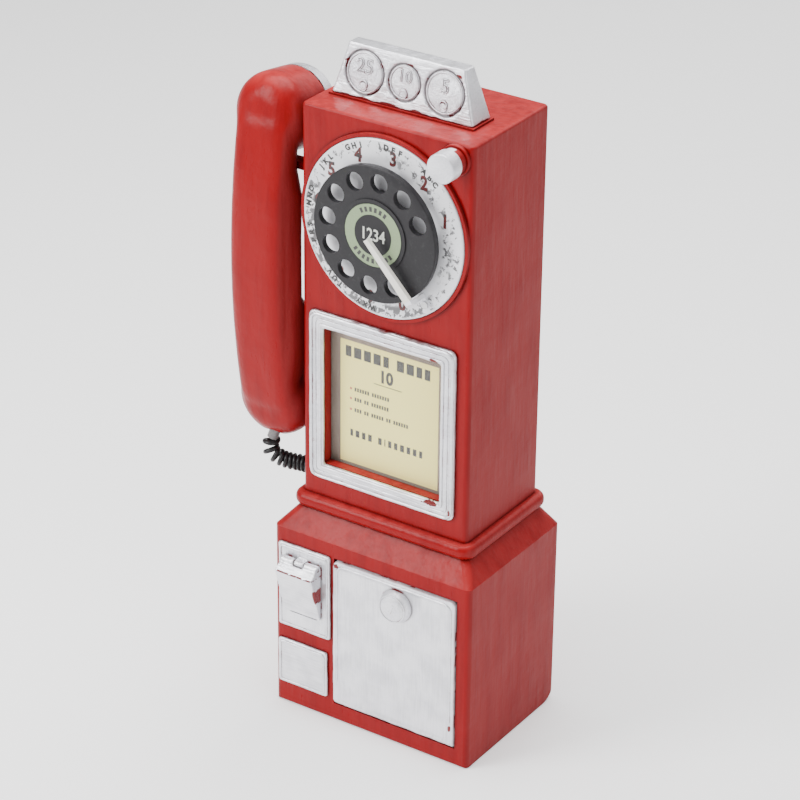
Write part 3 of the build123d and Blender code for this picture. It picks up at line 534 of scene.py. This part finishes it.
class TELEPHONE_OT_stage(bpy.types.Operator):
    """Sets up the pale floor, the soft lights and the camera."""

    bl_idname = "telephone.stage"
    bl_label = "Stage"

    floor_side = 8
    floor_glow = 0.45
    sky_strength = 0.42
    aim = (0, 0, 0.14)
    # each lamp's name, place, width and height, and power
    lamps = (
        ("key", (-0.5, -0.66, 0.62), (0.4, 0.6), 11),
        ("top", (-0.1, 0.05, 0.95), (0.8, 0.6), 13),
        ("fill", (1.1, -0.35, 0.45), (0.7, 1.0), 6),
        ("back", (0.2, 1.2, 0.8), (1.2, 0.9), 7),
    )
    lens = 139.3
    sensor_width = 36
    far_clip = 20
    # in degrees
    camera_azimuth = 33.73
    camera_elevation = 27.56
    camera_roll = 0.586
    camera_place = (0.57429, -0.87308, 0.67926)

    def lay_floor(self, context):
        deselect()
        bpy.ops.mesh.primitive_plane_add(size=self.floor_side, location=(0, 0, 0))
        floor = context.object
        floor.name = "floor"
        p = Paint("pale_floor")
        tint = p.mix(p.noise(30, detail=2.0) * 0.25, p.colours.floor, (0.9, 0.9, 0.9, 1))
        dress(floor, p.finish(
            Base_Color=tint, Roughness=0.65, Specular_IOR_Level=0.2,
            Emission_Color=(1, 1, 1, 1), Emission_Strength=self.floor_glow))

    def light_sky(self, context):
        world = bpy.data.worlds.new("studio")
        world.use_nodes = True
        background = world.node_tree.nodes["Background"]
        background.inputs["Color"].default_value = (1, 1, 1, 1)
        background.inputs["Strength"].default_value = self.sky_strength
        context.scene.world = world

    def hang_lamp(self, name, place, size, power):
        data = bpy.data.lights.new(name, "AREA")
        data.shape = "RECTANGLE"
        data.size, data.size_y = size
        data.energy = power
        lamp = bpy.data.objects.new(name, data)
        bpy.context.scene.collection.objects.link(lamp)
        lamp.location = place
        lamp.visible_camera = False
        towards = Vector(self.aim) - Vector(place)
        lamp.rotation_euler = towards.to_track_quat("-Z", "Y").to_euler()

    def set_camera(self, context):
        data = bpy.data.cameras.new("camera")
        data.lens = self.lens
        data.sensor_width = self.sensor_width
        data.clip_end = self.far_clip
        camera = bpy.data.objects.new("camera", data)
        context.scene.collection.objects.link(camera)
        azimuth = math.radians(self.camera_azimuth)
        elevation = math.radians(self.camera_elevation)
        roll = math.radians(self.camera_roll)
        away = Vector((math.sin(azimuth) * math.cos(elevation),
                       -math.cos(azimuth) * math.cos(elevation), math.sin(elevation)))
        right = Vector((math.cos(azimuth), math.sin(azimuth), 0))
        up = away.cross(right)
        turned_right = right * math.cos(roll) + up * math.sin(roll)
        turned_up = up * math.cos(roll) - right * math.sin(roll)
        place = Matrix((turned_right, turned_up, away)).transposed().to_4x4()
        place.translation = self.camera_place
        camera.matrix_world = place
        context.scene.camera = camera

    def execute(self, context):
        self.lay_floor(context)
        self.light_sky(context)
        for lamp in self.lamps:
            self.hang_lamp(*lamp)
        self.set_camera(context)
        return {"FINISHED"}


class TELEPHONE_OT_cord(bpy.types.Operator):
    """Winds the curly cord round its route from the handset to the column."""

    bl_idname = "telephone.cord"
    bl_label = "Curly cord"

    route = (
        (-0.0546, -0.01995, 0.1101),
        (-0.0561, -0.02075, 0.1052),
        (-0.0525, -0.01925, 0.1017),
        (-0.0488, -0.01695, 0.0999),
        (-0.0438, -0.01475, 0.0996),
        (-0.0390, -0.01475, 0.0996),
    )
    samples = 420  # points along the wound wire
    # shares of the route between which the open turns close up
    close_from = 0.25
    close_by = 0.5

    def centre_line(self):
        data = bpy.data.curves.new("cord_route", "CURVE")
        data.dimensions = "3D"
        spline = data.splines.new("NURBS")
        spline.points.add(len(self.route) - 1)
        for point, place in zip(spline.points, self.route):
            point.co = (*place, 1)
        spline.order_u = 3
        spline.use_endpoint_u = True
        spline.resolution_u = 40
        obj = bpy.data.objects.new("cord_route", data)
        bpy.context.scene.collection.objects.link(obj)
        mesh = bpy.data.meshes.new_from_object(obj)
        points = [v.co.copy() for v in mesh.vertices]
        bpy.data.objects.remove(obj)
        bpy.data.meshes.remove(mesh)
        return points

    def wind(self, points, radius, open_pitch, close_pitch):
        """The wire's own line, turned round the centre line."""
        ahead = (points[1] - points[0]).normalized()
        side = ahead.cross(Vector((0, 0, 1))).normalized()
        total = sum((b - a).length for a, b in zip(points, points[1:]))
        wire, travelled, turn, last = [], 0.0, 0.0, 0.0
        step = total / self.samples
        for a, b in zip(points, points[1:]):
            run = (b - a).length
            if run < 1e-7:
                continue
            new_ahead = (b - a) / run
            side = ahead.rotation_difference(new_ahead) @ side
            side = (side - new_ahead * side.dot(new_ahead)).normalized()
            ahead = new_ahead
            over = ahead.cross(side)
            while last <= travelled + run:
                ease = ramp(last / total, self.close_from, self.close_by)
                pitch = open_pitch + (close_pitch - open_pitch) * ease
                centre = a + ahead * (last - travelled)
                wire.append(centre + (side * math.cos(turn) + over * math.sin(turn)) * radius)
                turn += 2 * math.pi * step / pitch
                last += step
            travelled += run
        return wire

    def execute(self, context):
        sizes = context.scene.telephone_sizes
        radius = (sizes.coil - sizes.wire) / 2
        wire = self.wind(self.centre_line(), radius, sizes.open_pitch, sizes.close_pitch)
        data = bpy.data.curves.new("curly_wire", "CURVE")
        data.dimensions = "3D"
        data.bevel_depth = sizes.wire / 2
        data.bevel_resolution = 3
        data.use_fill_caps = True
        spline = data.splines.new("POLY")
        spline.points.add(len(wire) - 1)
        for point, place in zip(spline.points, wire):
            point.co = (*place, 1)
        spline.use_smooth = True
        piece = bpy.data.objects.new("curly_wire", data)
        context.scene.collection.objects.link(piece)
        p = Paint("cord_skin")
        fine = p.noise(2400, detail=2.0)
        tint = p.mix(fine.step(0.5, 0.8) * 0.4, p.colours.cord, (0.035, 0.033, 0.034, 1))
        data.materials.append(p.finish(
            Base_Color=tint, Roughness=0.25 + fine * 0.2, Specular_IOR_Level=0.3,
            Normal=p.bump(fine, 0.00003)))
        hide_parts("curly_cord")
        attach(piece, "housing")
        length = sum((b - a).length for a, b in zip(wire, wire[1:]))
        return {"FINISHED"}


class TELEPHONE_OT_castings(bpy.types.Operator):
    """Enamels the column, the base, the barrel, the hook and the return cup."""

    bl_idname = "telephone.castings"
    bl_label = "Castings"

    spill_foot = 251.6  # height at which the silver that ran over the barrel starts

    def execute(self, context):
        smooth_casting("upper_housing", "column_casting", enamel("column_enamel", "Z"))
        smooth_casting("lower_housing", "base_casting", enamel("base_enamel", "Z"))
        spill = (
            (lambda p: (p.y + (p.noise(300) - 0.5) * 1.5).step(-25.4, -26.0)
             * p.z.step(self.spill_foot, self.spill_foot + 0.5) * p.x.step(31.8, 31.2)
             * p.x.step(26.6, 27.2)),
            context.scene.telephone_colours.silver,
        )
        smooth_casting("release_barrel", "button_barrel", enamel("barrel_enamel", "X", (spill,)))
        smooth_casting("handset_hook", "side_hook", enamel("hook_enamel", "X"))
        dress_node("coin_return_cup", enamel("cup_enamel", "X"))
        return {"FINISHED"}


class TELEPHONE_OT_handset(bpy.types.Operator):
    """Finishes the handset's shell, its two caps and the cord's peg."""

    bl_idname = "telephone.handset"
    bl_label = "Handset"

    # in millimetres: how much deeper and wider the handle is than its plain casting
    deepening = 7.0
    flare = 2.4
    soft_front_rounds = 90

    def execute(self, context):
        shell = smooth_casting("handset_shell", "handset_body", enamel("handset_enamel", "Z"))
        hand_cast(shell, 0.7, 8, 0.2)
        front = shell.vertex_groups.new(name="front")
        for vertex in shell.data.vertices:
            front.add([vertex.index], ramp(vertex.co.y / MM, -19, -23), "REPLACE")
        select(shell)
        soften = shell.modifiers.new("soft front", "SMOOTH")
        soften.iterations = self.soft_front_rounds
        soften.vertex_group = "front"
        bpy.ops.object.modifier_apply(modifier=soften.name)
        for vertex in shell.data.vertices:
            # deeper in the lower half, clear of the hook, and wider towards the column
            x, y, z = (c / MM for c in vertex.co)
            deep = ramp(z, 136, 148) * ramp(z, 174, 164)
            tall = ramp(z, 138, 150) * ramp(z, 226, 216)
            back = ramp(y, -25, -19)
            vertex.co.y += self.deepening * MM * deep * back
            vertex.co.x += self.flare * MM * tall * ramp(y, -28, -21) * ramp(x, -52, -44)
        caps = silver("cap_silver", "none")
        smooth_casting("ear_cap", "ear_cover", caps, 40)
        smooth_casting("mouth_cap", "mouth_cover", caps, 40)
        dress_node("cord_gland", plain("peg_plastic", context.scene.telephone_colours.peg, 0.35))
        return {"FINISHED"}


class TELEPHONE_OT_coin_head(bpy.types.Operator):
    """Paints the coin head and raises the values on its three discs."""

    bl_idname = "telephone.coin_head"
    bl_label = "Coin head"

    lean = math.atan2(3.2, 19.7)  # the head's face goes 3.2 mm back over 19.7 mm up
    small_ten = 0.86  # the ten's letter size as a share of the other two
    # in millimetres from a disc's middle: out along the lean, then up or down its face
    value_out, value_up = 0.62, 2.2
    mark_out, mark_down = 0.8, 4.4
    rim_out, rim_inset = 0.6, 0.5
    value_wire, mark_wire, rim_wire = 0.42, 0.5, 0.55
    mark_radius = 1.5

    def execute(self, context):
        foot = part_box("coin_head")[0][2] / MM
        gaps = (
            lambda p: p.blob(-26.8, foot + 12.9, 1.6, 0.6),
            lambda p: p.blob(-0.6, foot + 16.4, 1.7, 0.6),
            lambda p: p.blob(20.6, foot + 17.0, 1.3, 0.7),
            lambda p: (p.z - foot + (p.noise(160, detail=2.0) - 0.5) * 3.2).step(0.9, 0.5),
        )
        tower = smooth_casting("coin_head", "coin_tower", silver("head_silver", "X", gaps))
        hand_cast(tower, 0.45, 3, 0.35)
        disc_paint = silver("disc_silver", "none")
        out = Vector((0, -math.cos(self.lean), math.sin(self.lean)))
        up = Vector((0, math.sin(self.lean), math.cos(self.lean)))
        turn = Matrix((Vector((1, 0, 0)), up, out)).transposed().to_4x4()
        figures = []
        for node, text in (("coin_disc_25", "25"), ("coin_disc_10", "10"), ("coin_disc_5", "5")):
            smooth_casting(node, node.replace("coin_disc", "coin_face"), disc_paint)
            low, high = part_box(node)
            middle = box_middle(node)
            size = context.scene.telephone_sizes.coin_digit
            if text == "10":
                size *= self.small_ten
            value = middle + out * self.value_out * MM + up * self.value_up * MM
            figures.append(outline(text, size, self.value_wire * MM,
                                   Matrix.Translation(value) @ turn))
            mark = middle + out * self.mark_out * MM - up * self.mark_down * MM
            figures.append(wire_ring("coin_mark", self.mark_radius * MM, self.mark_wire * MM,
                                     Matrix.Translation(mark) @ turn))
            rim = min(high.x - low.x, high.z - low.z) / 2 - self.rim_inset * MM
            figures.append(wire_ring("coin_rim", rim, self.rim_wire * MM,
                                     Matrix.Translation(middle + out * self.rim_out * MM) @ turn))
        join("coin_values", figures, silver("value_silver", "none"), "housing")
        return {"FINISHED"}


class TELEPHONE_OT_dial(bpy.types.Operator):
    """Finishes the dial's plate, wheel, printed centre, figures and finger stop."""

    bl_idname = "telephone.dial"
    bl_label = "Dial"

    digits = "1234567890"
    digit_angles = (20.5, 51.6, 81.0, 111.6, 140.7, 170.5, 200.5, 230.0, 260.0, 288.4)
    letters = ("ABC", "DEF", "GHI", "JKL", "MNO", "PRS", "TUV", "WXY")
    letter_angles = (51.4, 82.0, 112.6, 140.0, 170.0, 196.0, 230.0, 257.0)
    letter_spread = 5.4  # degrees between the letters of one group
    # in millimetres: radii of the rings on which the print lies, and its thickness
    digit_ring, letter_ring, block_ring = 28.9, 32.5, 10.15
    digit_depth, letter_depth, number_depth, block_depth = 0.22, 0.14, 0.12, 0.1
    # degrees at which the blocks that stand for words lie: above and below the number
    block_angles = (range(60, 121, 12), range(222, 319, 12))

    def on_ring(self, radius, angle, face, turned=True):
        """A place on a ring round the dial's middle, facing the front."""
        a = math.radians(angle)
        return standing(dial_middle.x + radius * MM * math.cos(a), face,
                        dial_middle.z + radius * MM * math.sin(a),
                        a - math.pi / 2 if turned else 0.0)

    def plate_paint(self):
        p = Paint("dial_plate_paint")
        across, along, reach = p.from_dial()
        cloud = p.noise(120, detail=4.0)
        speck = p.noise(1500, detail=3.0, rough=0.7)
        smear = p.noise(420, detail=4.0, rough=0.65, warp=0.4)
        band = reach.step(28.5, 30.5) * reach.step(34.8, 33.6)
        left = (across * -0.6 - along * 0.8).step(-14.0, 20.0)
        smears_and_shade = (smear + left * 0.1).step(0.57, 0.63) * band
        # painted shadow of the wheel: black blotches just outside its edge on its right side, joined with the real
        # black smears round the figures
        right = (across * 0.9 + along * 0.45).step(12.0, 22.0)
        wheel_shadow = reach.step(26.0, 27.0) * reach.step(32.0, 29.0) * right
        smears_and_shade = smears_and_shade.most(smear.step(0.5, 0.58) * wheel_shadow)
        grey = cloud.step(0.4, 0.75) * 0.35 + speck.step(0.62, 0.72) * 0.25
        tint = p.mix(grey, (0.8, 0.8, 0.83, 1), (0.56, 0.57, 0.62, 1))
        tint = p.mix(smears_and_shade * 0.85, tint, p.colours.ink)
        return p.finish(Base_Color=tint, Metallic=0.2, Roughness=0.34 + speck * 0.15,
                        Normal=p.bump(cloud * 1.5 + speck * 0.4 + smears_and_shade * 0.4, 0.00012))

    def label_paint(self):
        p = Paint("label_print")
        reach = p.from_dial()[2] + (p.noise(700) - 0.5) * 0.25
        fine = p.noise(1800, detail=2.0)
        tint = p.mix(fine * 0.3, p.colours.ring, (0.42, 0.49, 0.34, 1))
        tint = p.mix(reach.step(8.15, 7.95), tint, p.colours.black)
        tint = p.mix(reach.step(12.1, 12.35), tint, p.colours.black)
        return p.finish(Base_Color=tint, Roughness=0.35 + fine * 0.1, Specular_IOR_Level=0.2,
                        Normal=p.bump(fine, 0.00002))

    def stop_paint(self):
        p = Paint("stop_paint")
        reach = p.from_dial()[2]
        chips = p.noise(600, detail=3.0)
        end = (reach + (chips - 0.5) * 1.5).step(26.6, 27.4)
        tint = p.mix(chips.step(0.4, 0.7) * 0.4, p.colours.bone, (0.68, 0.66, 0.6, 1))
        tint = p.mix(end, tint, p.colours.silver)
        return p.finish(Base_Color=tint, Roughness=0.3 + chips * 0.15,
                        Normal=p.bump(chips, 0.0001))

    def execute(self, context):
        sizes = context.scene.telephone_sizes
        colours = context.scene.telephone_colours
        smooth_casting("dial_plate", "dial_face", self.plate_paint())
        p = Paint("wheel_paint")
        scuff = p.noise(500, detail=4.0, rough=0.65)
        fine = p.noise(2200, detail=2.0)
        tint = p.mix(scuff.step(0.5, 0.8) * 0.5, p.colours.black, (0.045, 0.045, 0.047, 1))
        wheel = p.finish(Base_Color=tint, Roughness=0.3 + scuff * 0.18,
                         Specular_IOR_Level=0.2,
                         Normal=p.bump(scuff + fine * 0.3, 0.00008))
        smooth_casting("finger_wheel", "dial_wheel", wheel)
        dress_node("number_card", self.label_paint())
        smooth_casting("finger_stop", "stop_arm", self.stop_paint(), 45)
        # figures printed on the plate
        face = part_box("dial_plate")[0][1]
        figures = []
        for text, angle in zip(self.digits, self.digit_angles):
            place = self.on_ring(self.digit_ring, angle, face, turned=False)
            figures.append(lettering(text, sizes.digit, self.digit_depth * MM, place, 0.85,
                                     0.0003))
        p = Paint("digit_paint")
        smudge = p.noise(800, detail=3.0, rough=0.7)
        tint = p.mix(smudge.step(0.46, 0.58), p.colours.maroon, p.colours.ink)
        join("dial_digits", figures, p.finish(Base_Color=tint, Roughness=0.45), "housing")
        marks = []
        for text, angle in zip(self.letters, self.letter_angles):
            for k, letter in enumerate(text):
                place = self.on_ring(self.letter_ring, angle + (1 - k) * self.letter_spread, face)
                marks.append(lettering(letter, sizes.letter, self.letter_depth * MM, place, 1.0,
                                       0.00016))
        join("dial_letters", marks, plain("letter_ink", colours.ink, 0.5), "housing")
        # the centre's number and the blocks that stand for its words
        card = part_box("number_card")[0][1]
        number = lettering("1234", 6.6 * MM, self.number_depth * MM,
                           standing(dial_middle.x, card, dial_middle.z), 0.82, 0.0001)
        join("centre_number", [number], plain("number_ink", (0.62, 0.64, 0.58, 1), 0.4),
             "dial")
        blocks = []
        for angles in self.block_angles:
            for angle in angles:
                place = self.on_ring(self.block_ring, angle, card)
                blocks.append(tile(1.15 * MM, 1.9 * MM, self.block_depth * MM, place))
        join("centre_blocks", blocks, plain("block_ink", colours.ink, 0.5), "dial")
        return {"FINISHED"}


class TELEPHONE_OT_window(bpy.types.Operator):
    """Paints the window's frame and prints the card behind its pane."""

    bl_idname = "telephone.window"
    bl_label = "Card window"

    # in millimetres
    air = 0.15  # between the pane and the card
    print_depth = 0.06
    cream_left, cream_right, cream_foot, cream_top = -23.4, 21.0, 109.5, 161.4
    cream_edge = 0.1  # half the width over which the border fades into the cream
    # each ridge of the frame: how far in, its corner's radius and its wire
    ridge_wires = ((1.0, 3.0, 1.5), (3.0, 2.0, 0.8), (5.2, 0.6, 1.2))
    # widths of the blocks in a line of print, where a negative width is a space
    headline = (2.6, 3.4, 3.2, 3.3, 2.5, -1.3, 3.2, 3.3, 2.5, 2.5)
    foot_line = (1.2, 1.7, 1.6, 1.7, -0.5, 1.6, 0.5, 1.5, 1.5, 1.8, 1.6, 1.6, 1.4)
    # each small line's height above the ground and the widths of its words
    small_lines = (
        (141.4, (4.6, -0.4, 5.6)),
        (137.2, (2.6, -0.3, 1.8, -0.3, 5.6)),
        (132.6, (2.6, -0.3, 1.8, -0.3, 3.6, -0.3, 1.3, -0.3, 4.8)),
    )
    letter_width = 0.8
    letter_pitch = 0.78
    word_space = 0.6

    def card_paint(self):
        p = Paint("card_print")
        fibre = p.noise(1600, detail=3.0)
        cloud = p.noise(60, detail=2.0)
        edge = self.cream_edge
        inside = p.x.step(self.cream_left - edge, self.cream_left + edge)
        inside = inside * p.x.step(self.cream_right + edge, self.cream_right - edge)
        inside = inside * p.z.step(self.cream_foot - edge, self.cream_foot + edge)
        inside = inside * p.z.step(self.cream_top + edge, self.cream_top - edge)
        brown = p.mix(cloud, p.colours.border, (0.3, 0.23, 0.17, 1))
        cream = p.mix(fibre * 0.25 + cloud * 0.2, p.colours.card, (0.9, 0.79, 0.24, 1))
        return p.finish(Base_Color=p.mix(inside, brown, cream), Roughness=0.6 + fibre * 0.1,
                        Normal=p.bump(fibre, 0.00002))

    def words(self, left, z, height, widths, gap, face):
        """A line of print as blocks, one for each width that isn't a space."""
        blocks = []
        for width in widths:
            if width > 0:
                place = standing((left + width / 2) * MM, face, z * MM)
                blocks.append(tile(width * MM, height * MM, self.print_depth * MM, place))
            left += abs(width) + gap
        return blocks

    def execute(self, context):
        colours = context.scene.telephone_colours
        gaps = (
            lambda p: p.blob(22.8, 167.6, 1.8, 0.8),
            lambda p: p.blob(30.6, 106.2, 0.8, 1.2),
            lambda p: p.blob(22.0, 107.6, 3.2, 1.1),
            lambda p: (p.z + (p.noise(130, detail=2.0) - 0.5) * 3.0).step(172.9, 173.6)
            * p.x.step(-16.0, -12.0),
        )
        frame_paint = silver("frame_silver", "X", gaps)
        trim = smooth_casting("window_frame", "window_trim", frame_paint)
        hand_cast(trim, 0.45, 2, 0.3)
        low, high = (Vector(v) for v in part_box("window_frame"))
        middle, size = (low + high) / 2, high - low
        ridges = []
        for inset, corner, wire in self.ridge_wires:
            ridges.append(tube_frame(
                "frame_ridge", size.x - 2 * inset * MM, size.z - 2 * inset * MM, corner * MM,
                wire * MM, standing(middle.x, low.y, middle.z)))
        ridge = join("window_ridges", ridges, frame_paint, "housing")
        hand_cast(ridge, 0.25, 1, 0.3)
        dress_node("instruction_card", self.card_paint())
        pane = Paint("clear_pane")
        haze = pane.noise(300)
        glass = pane.finish(Base_Color=(0.95, 0.95, 0.95, 1), Roughness=0.06 + haze * 0.05,
                            Alpha=0.03, Specular_IOR_Level=0.05)
        sheet = smooth_casting("window_pane", "card_glass", glass)
        card_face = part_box("instruction_card")[0][1]
        for vertex in sheet.data.vertices:
            vertex.co.y = min(vertex.co.y, card_face - self.air * MM)
        face = card_face - 0.02 * MM
        depth = self.print_depth * MM
        print_blocks = self.words(-21.0, 156.9, 4.5, self.headline, 1.15, face)
        for z, widths in self.small_lines:
            letters = []
            for width in widths:
                if width > 0:
                    letters += [self.letter_width] * max(1, round(width / self.letter_pitch))
                else:
                    letters.append(-self.word_space)
            print_blocks += self.words(-16.9, z, 1.6, letters, 0.36, face)
        print_blocks += self.words(-18.8, 122.6, 2.9, self.foot_line, 1.22, face)
        rule = tile(12.5 * MM, 0.3 * MM, depth, standing(-1.8 * MM, face, 146.5 * MM))
        price = lettering("10", 7.0 * MM, depth, standing(-2.6 * MM, face, 150.0 * MM), 0.9,
                          0.0003)
        grey = plain("print_grey", (0.035, 0.033, 0.027, 1), 0.6)
        join("card_lines", print_blocks + [rule, price], grey, "housing")
        bullets = [tile(0.9 * MM, 0.9 * MM, depth, standing(-18.6 * MM, face, z * MM))
                   for z, _ in self.small_lines]
        join("card_bullets", bullets, plain("bullet_red", (0.55, 0.12, 0.06, 1), 0.6),
             "housing")
        return {"FINISHED"}


class TELEPHONE_OT_trims(bpy.types.Operator):
    """Paints the door, lock, coin return, blank plate and release button."""

    bl_idname = "telephone.trims"
    bl_label = "Silver trims"

    # in millimetres: how far the borders lie inside the plates' edges, both sides together
    door_inset = 3.4
    plate_inset = 2.4
    # the door's border sinks by this much between these heights above the door's foot
    border_sink = 0.8
    sink_from, sink_by = 12.0, 8.5

    def execute(self, context):
        low, high = (Vector(v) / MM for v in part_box("vault_door"))
        gaps = (
            lambda p: p.blob(low.x + 1.5, high.z - 2.0, 1.2, 1.0),
            lambda p: p.blob(high.x - 1.5, low.z + 9.0, 0.8, 1.4),
        )
        door_paint = silver("door_silver", "Z", gaps)
        hand_cast(smooth_casting("vault_door", "coin_door", door_paint), 0.5, 3, 0.4)
        middle, size = (low + high) / 2, high - low
        border = tube_frame(
            "door_border", (size.x - self.door_inset) * MM, (size.z - self.door_inset) * MM,
            3.2 * MM, 1.1 * MM, standing(middle.x * MM, (low.y + 0.1) * MM, middle.z * MM))
        border = join("door_ridge", [border], door_paint, "door")
        hand_cast(border, 0.25, 1, 0.3)
        for vertex in border.data.vertices:
            # sinks into the door near the hinge, so that it clears the base when it opens
            vertex.co.y += self.border_sink * MM * ramp(
                vertex.co.z / MM, low.z + self.sink_from, low.z + self.sink_by)
        rims = []
        plate_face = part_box("blank_plate")[0][1]
        for node in ("coin_return_bezel", "blank_plate"):
            edge_low, edge_high = (Vector(v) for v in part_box(node))
            edge_middle, edge_size = (edge_low + edge_high) / 2, edge_high - edge_low
            rims.append(tube_frame(
                "plate_rim", edge_size.x - self.plate_inset * MM,
                edge_size.z - self.plate_inset * MM, 1.2 * MM, 0.9 * MM,
                standing(edge_middle.x, plate_face, edge_middle.z)))
        hand_cast(join("plate_rims", rims, door_paint, "housing"), 0.25, 1, 0.3)
        lock_paint = silver("lock_silver", "none")
        smooth_casting("lock_knob", "door_lock", lock_paint, 40)
        lock_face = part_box("lock_knob")[0][1]
        centre = box_middle("lock_knob")
        ring = wire_ring("lock_ring", 5.6 * MM, 0.7 * MM,
                         standing(centre.x, lock_face + 0.62 * MM, centre.z))
        slot = tile(0.9 * MM, 4.2 * MM, 0.5 * MM,
                    standing(centre.x, lock_face + 0.05 * MM, centre.z, math.radians(-20)))
        join("lock_relief", [ring, slot], lock_paint, "lock")
        hand_cast(smooth_casting("coin_return_bezel", "return_bezel",
                                 silver("bezel_silver", "Z")), 0.4, 2, 0.35)
        flap_high = Vector(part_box("coin_return_flap")[1]) / MM
        worn = (
            lambda p: p.blob(flap_high.x - 0.2, 57.0, 0.6, 3.4, 0.4),
            lambda p: abs(p.z - 65.3).step(0.35, 0.2) * p.noise(400).step(0.45, 0.5),
        )
        hand_cast(smooth_casting("coin_return_flap", "return_flap",
                                 silver("flap_silver", "X", worn)), 0.4, 2, 0.3)
        hand_cast(smooth_casting("blank_plate", "lower_plate",
                                 silver("plate_silver", "X")), 0.4, 2, 0.4)
        smooth_casting("release_button", "button_cap", silver("button_silver", "none"), 40)
        return {"FINISHED"}


class TELEPHONE_OT_hardware(bpy.types.Operator):
    """Gives the screws, pins, boards and felt their finishes."""

    bl_idname = "telephone.hardware"
    bl_label = "Hardware"

    def execute(self, context):
        colours = context.scene.telephone_colours
        steel = plain("turned_steel", colours.steel, 0.32, 0.9, 1800.0, 0.00002)
        board = plain("black_board", (0.02, 0.02, 0.021, 1), 0.55)
        felt = plain("green_felt", colours.felt, 0.9, 0.0, 3200.0, 0.0002, fuzz=0.4)
        rubber = plain("grommet_rubber", colours.cord, 0.5)
        finishes = {"steel": steel, "black_board": board, "felt_green": felt,
                    "cord_black": rubber}
        for node, slot in slot_of_node.items():
            if slot in finishes and node not in ("curly_cord", "release_spring"):
                dress_node(node, finishes[slot])
        spring = smooth_casting("release_spring", "push_spring", steel, 60)
        low, high = (Vector(v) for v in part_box("release_spring"))
        travel = next(j for j in frame["joints"] if j["name"] == "release_press")["range_m"][1]
        1 - travel / (high.y - low.y)
        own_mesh(spring)
        return {"FINISHED"}


STEPS = (
    TELEPHONE_OT_stage,
    TELEPHONE_OT_cord,
    TELEPHONE_OT_castings,
    TELEPHONE_OT_handset,
    TELEPHONE_OT_coin_head,
    TELEPHONE_OT_dial,
    TELEPHONE_OT_window,
    TELEPHONE_OT_trims,
    TELEPHONE_OT_hardware,
)


class TELEPHONE_PT_panel(bpy.types.Panel):
    """Lists the steps in the order in which they are run."""

    bl_idname = "TELEPHONE_PT_panel"
    bl_label = "Display telephone"
    bl_space_type = "VIEW_3D"
    bl_region_type = "UI"
    bl_category = "Telephone"

    def draw(self, context):
        for settings in (context.scene.telephone_sizes, context.scene.telephone_colours):
            box = self.layout.box()
            for key in settings.__annotations__:
                box.prop(settings, key)
        for step in STEPS:
            self.layout.operator(step.bl_idname)


CLASSES = (TelephoneSizes, TelephoneColours) + STEPS + (TELEPHONE_PT_panel,)


def register():
    for cls in CLASSES:
        bpy.utils.register_class(cls)
    bpy.types.Scene.telephone_sizes = PointerProperty(type=TelephoneSizes)
    bpy.types.Scene.telephone_colours = PointerProperty(type=TelephoneColours)


def unregister():
    del bpy.types.Scene.telephone_colours
    del bpy.types.Scene.telephone_sizes
    for cls in reversed(CLASSES):
        bpy.utils.unregister_class(cls)


def main():
    register()
    for step in STEPS:
        group, name = step.bl_idname.split(".")
        getattr(getattr(bpy.ops, group), name)()
    deselect()


if __name__ == "__main__":
    main()
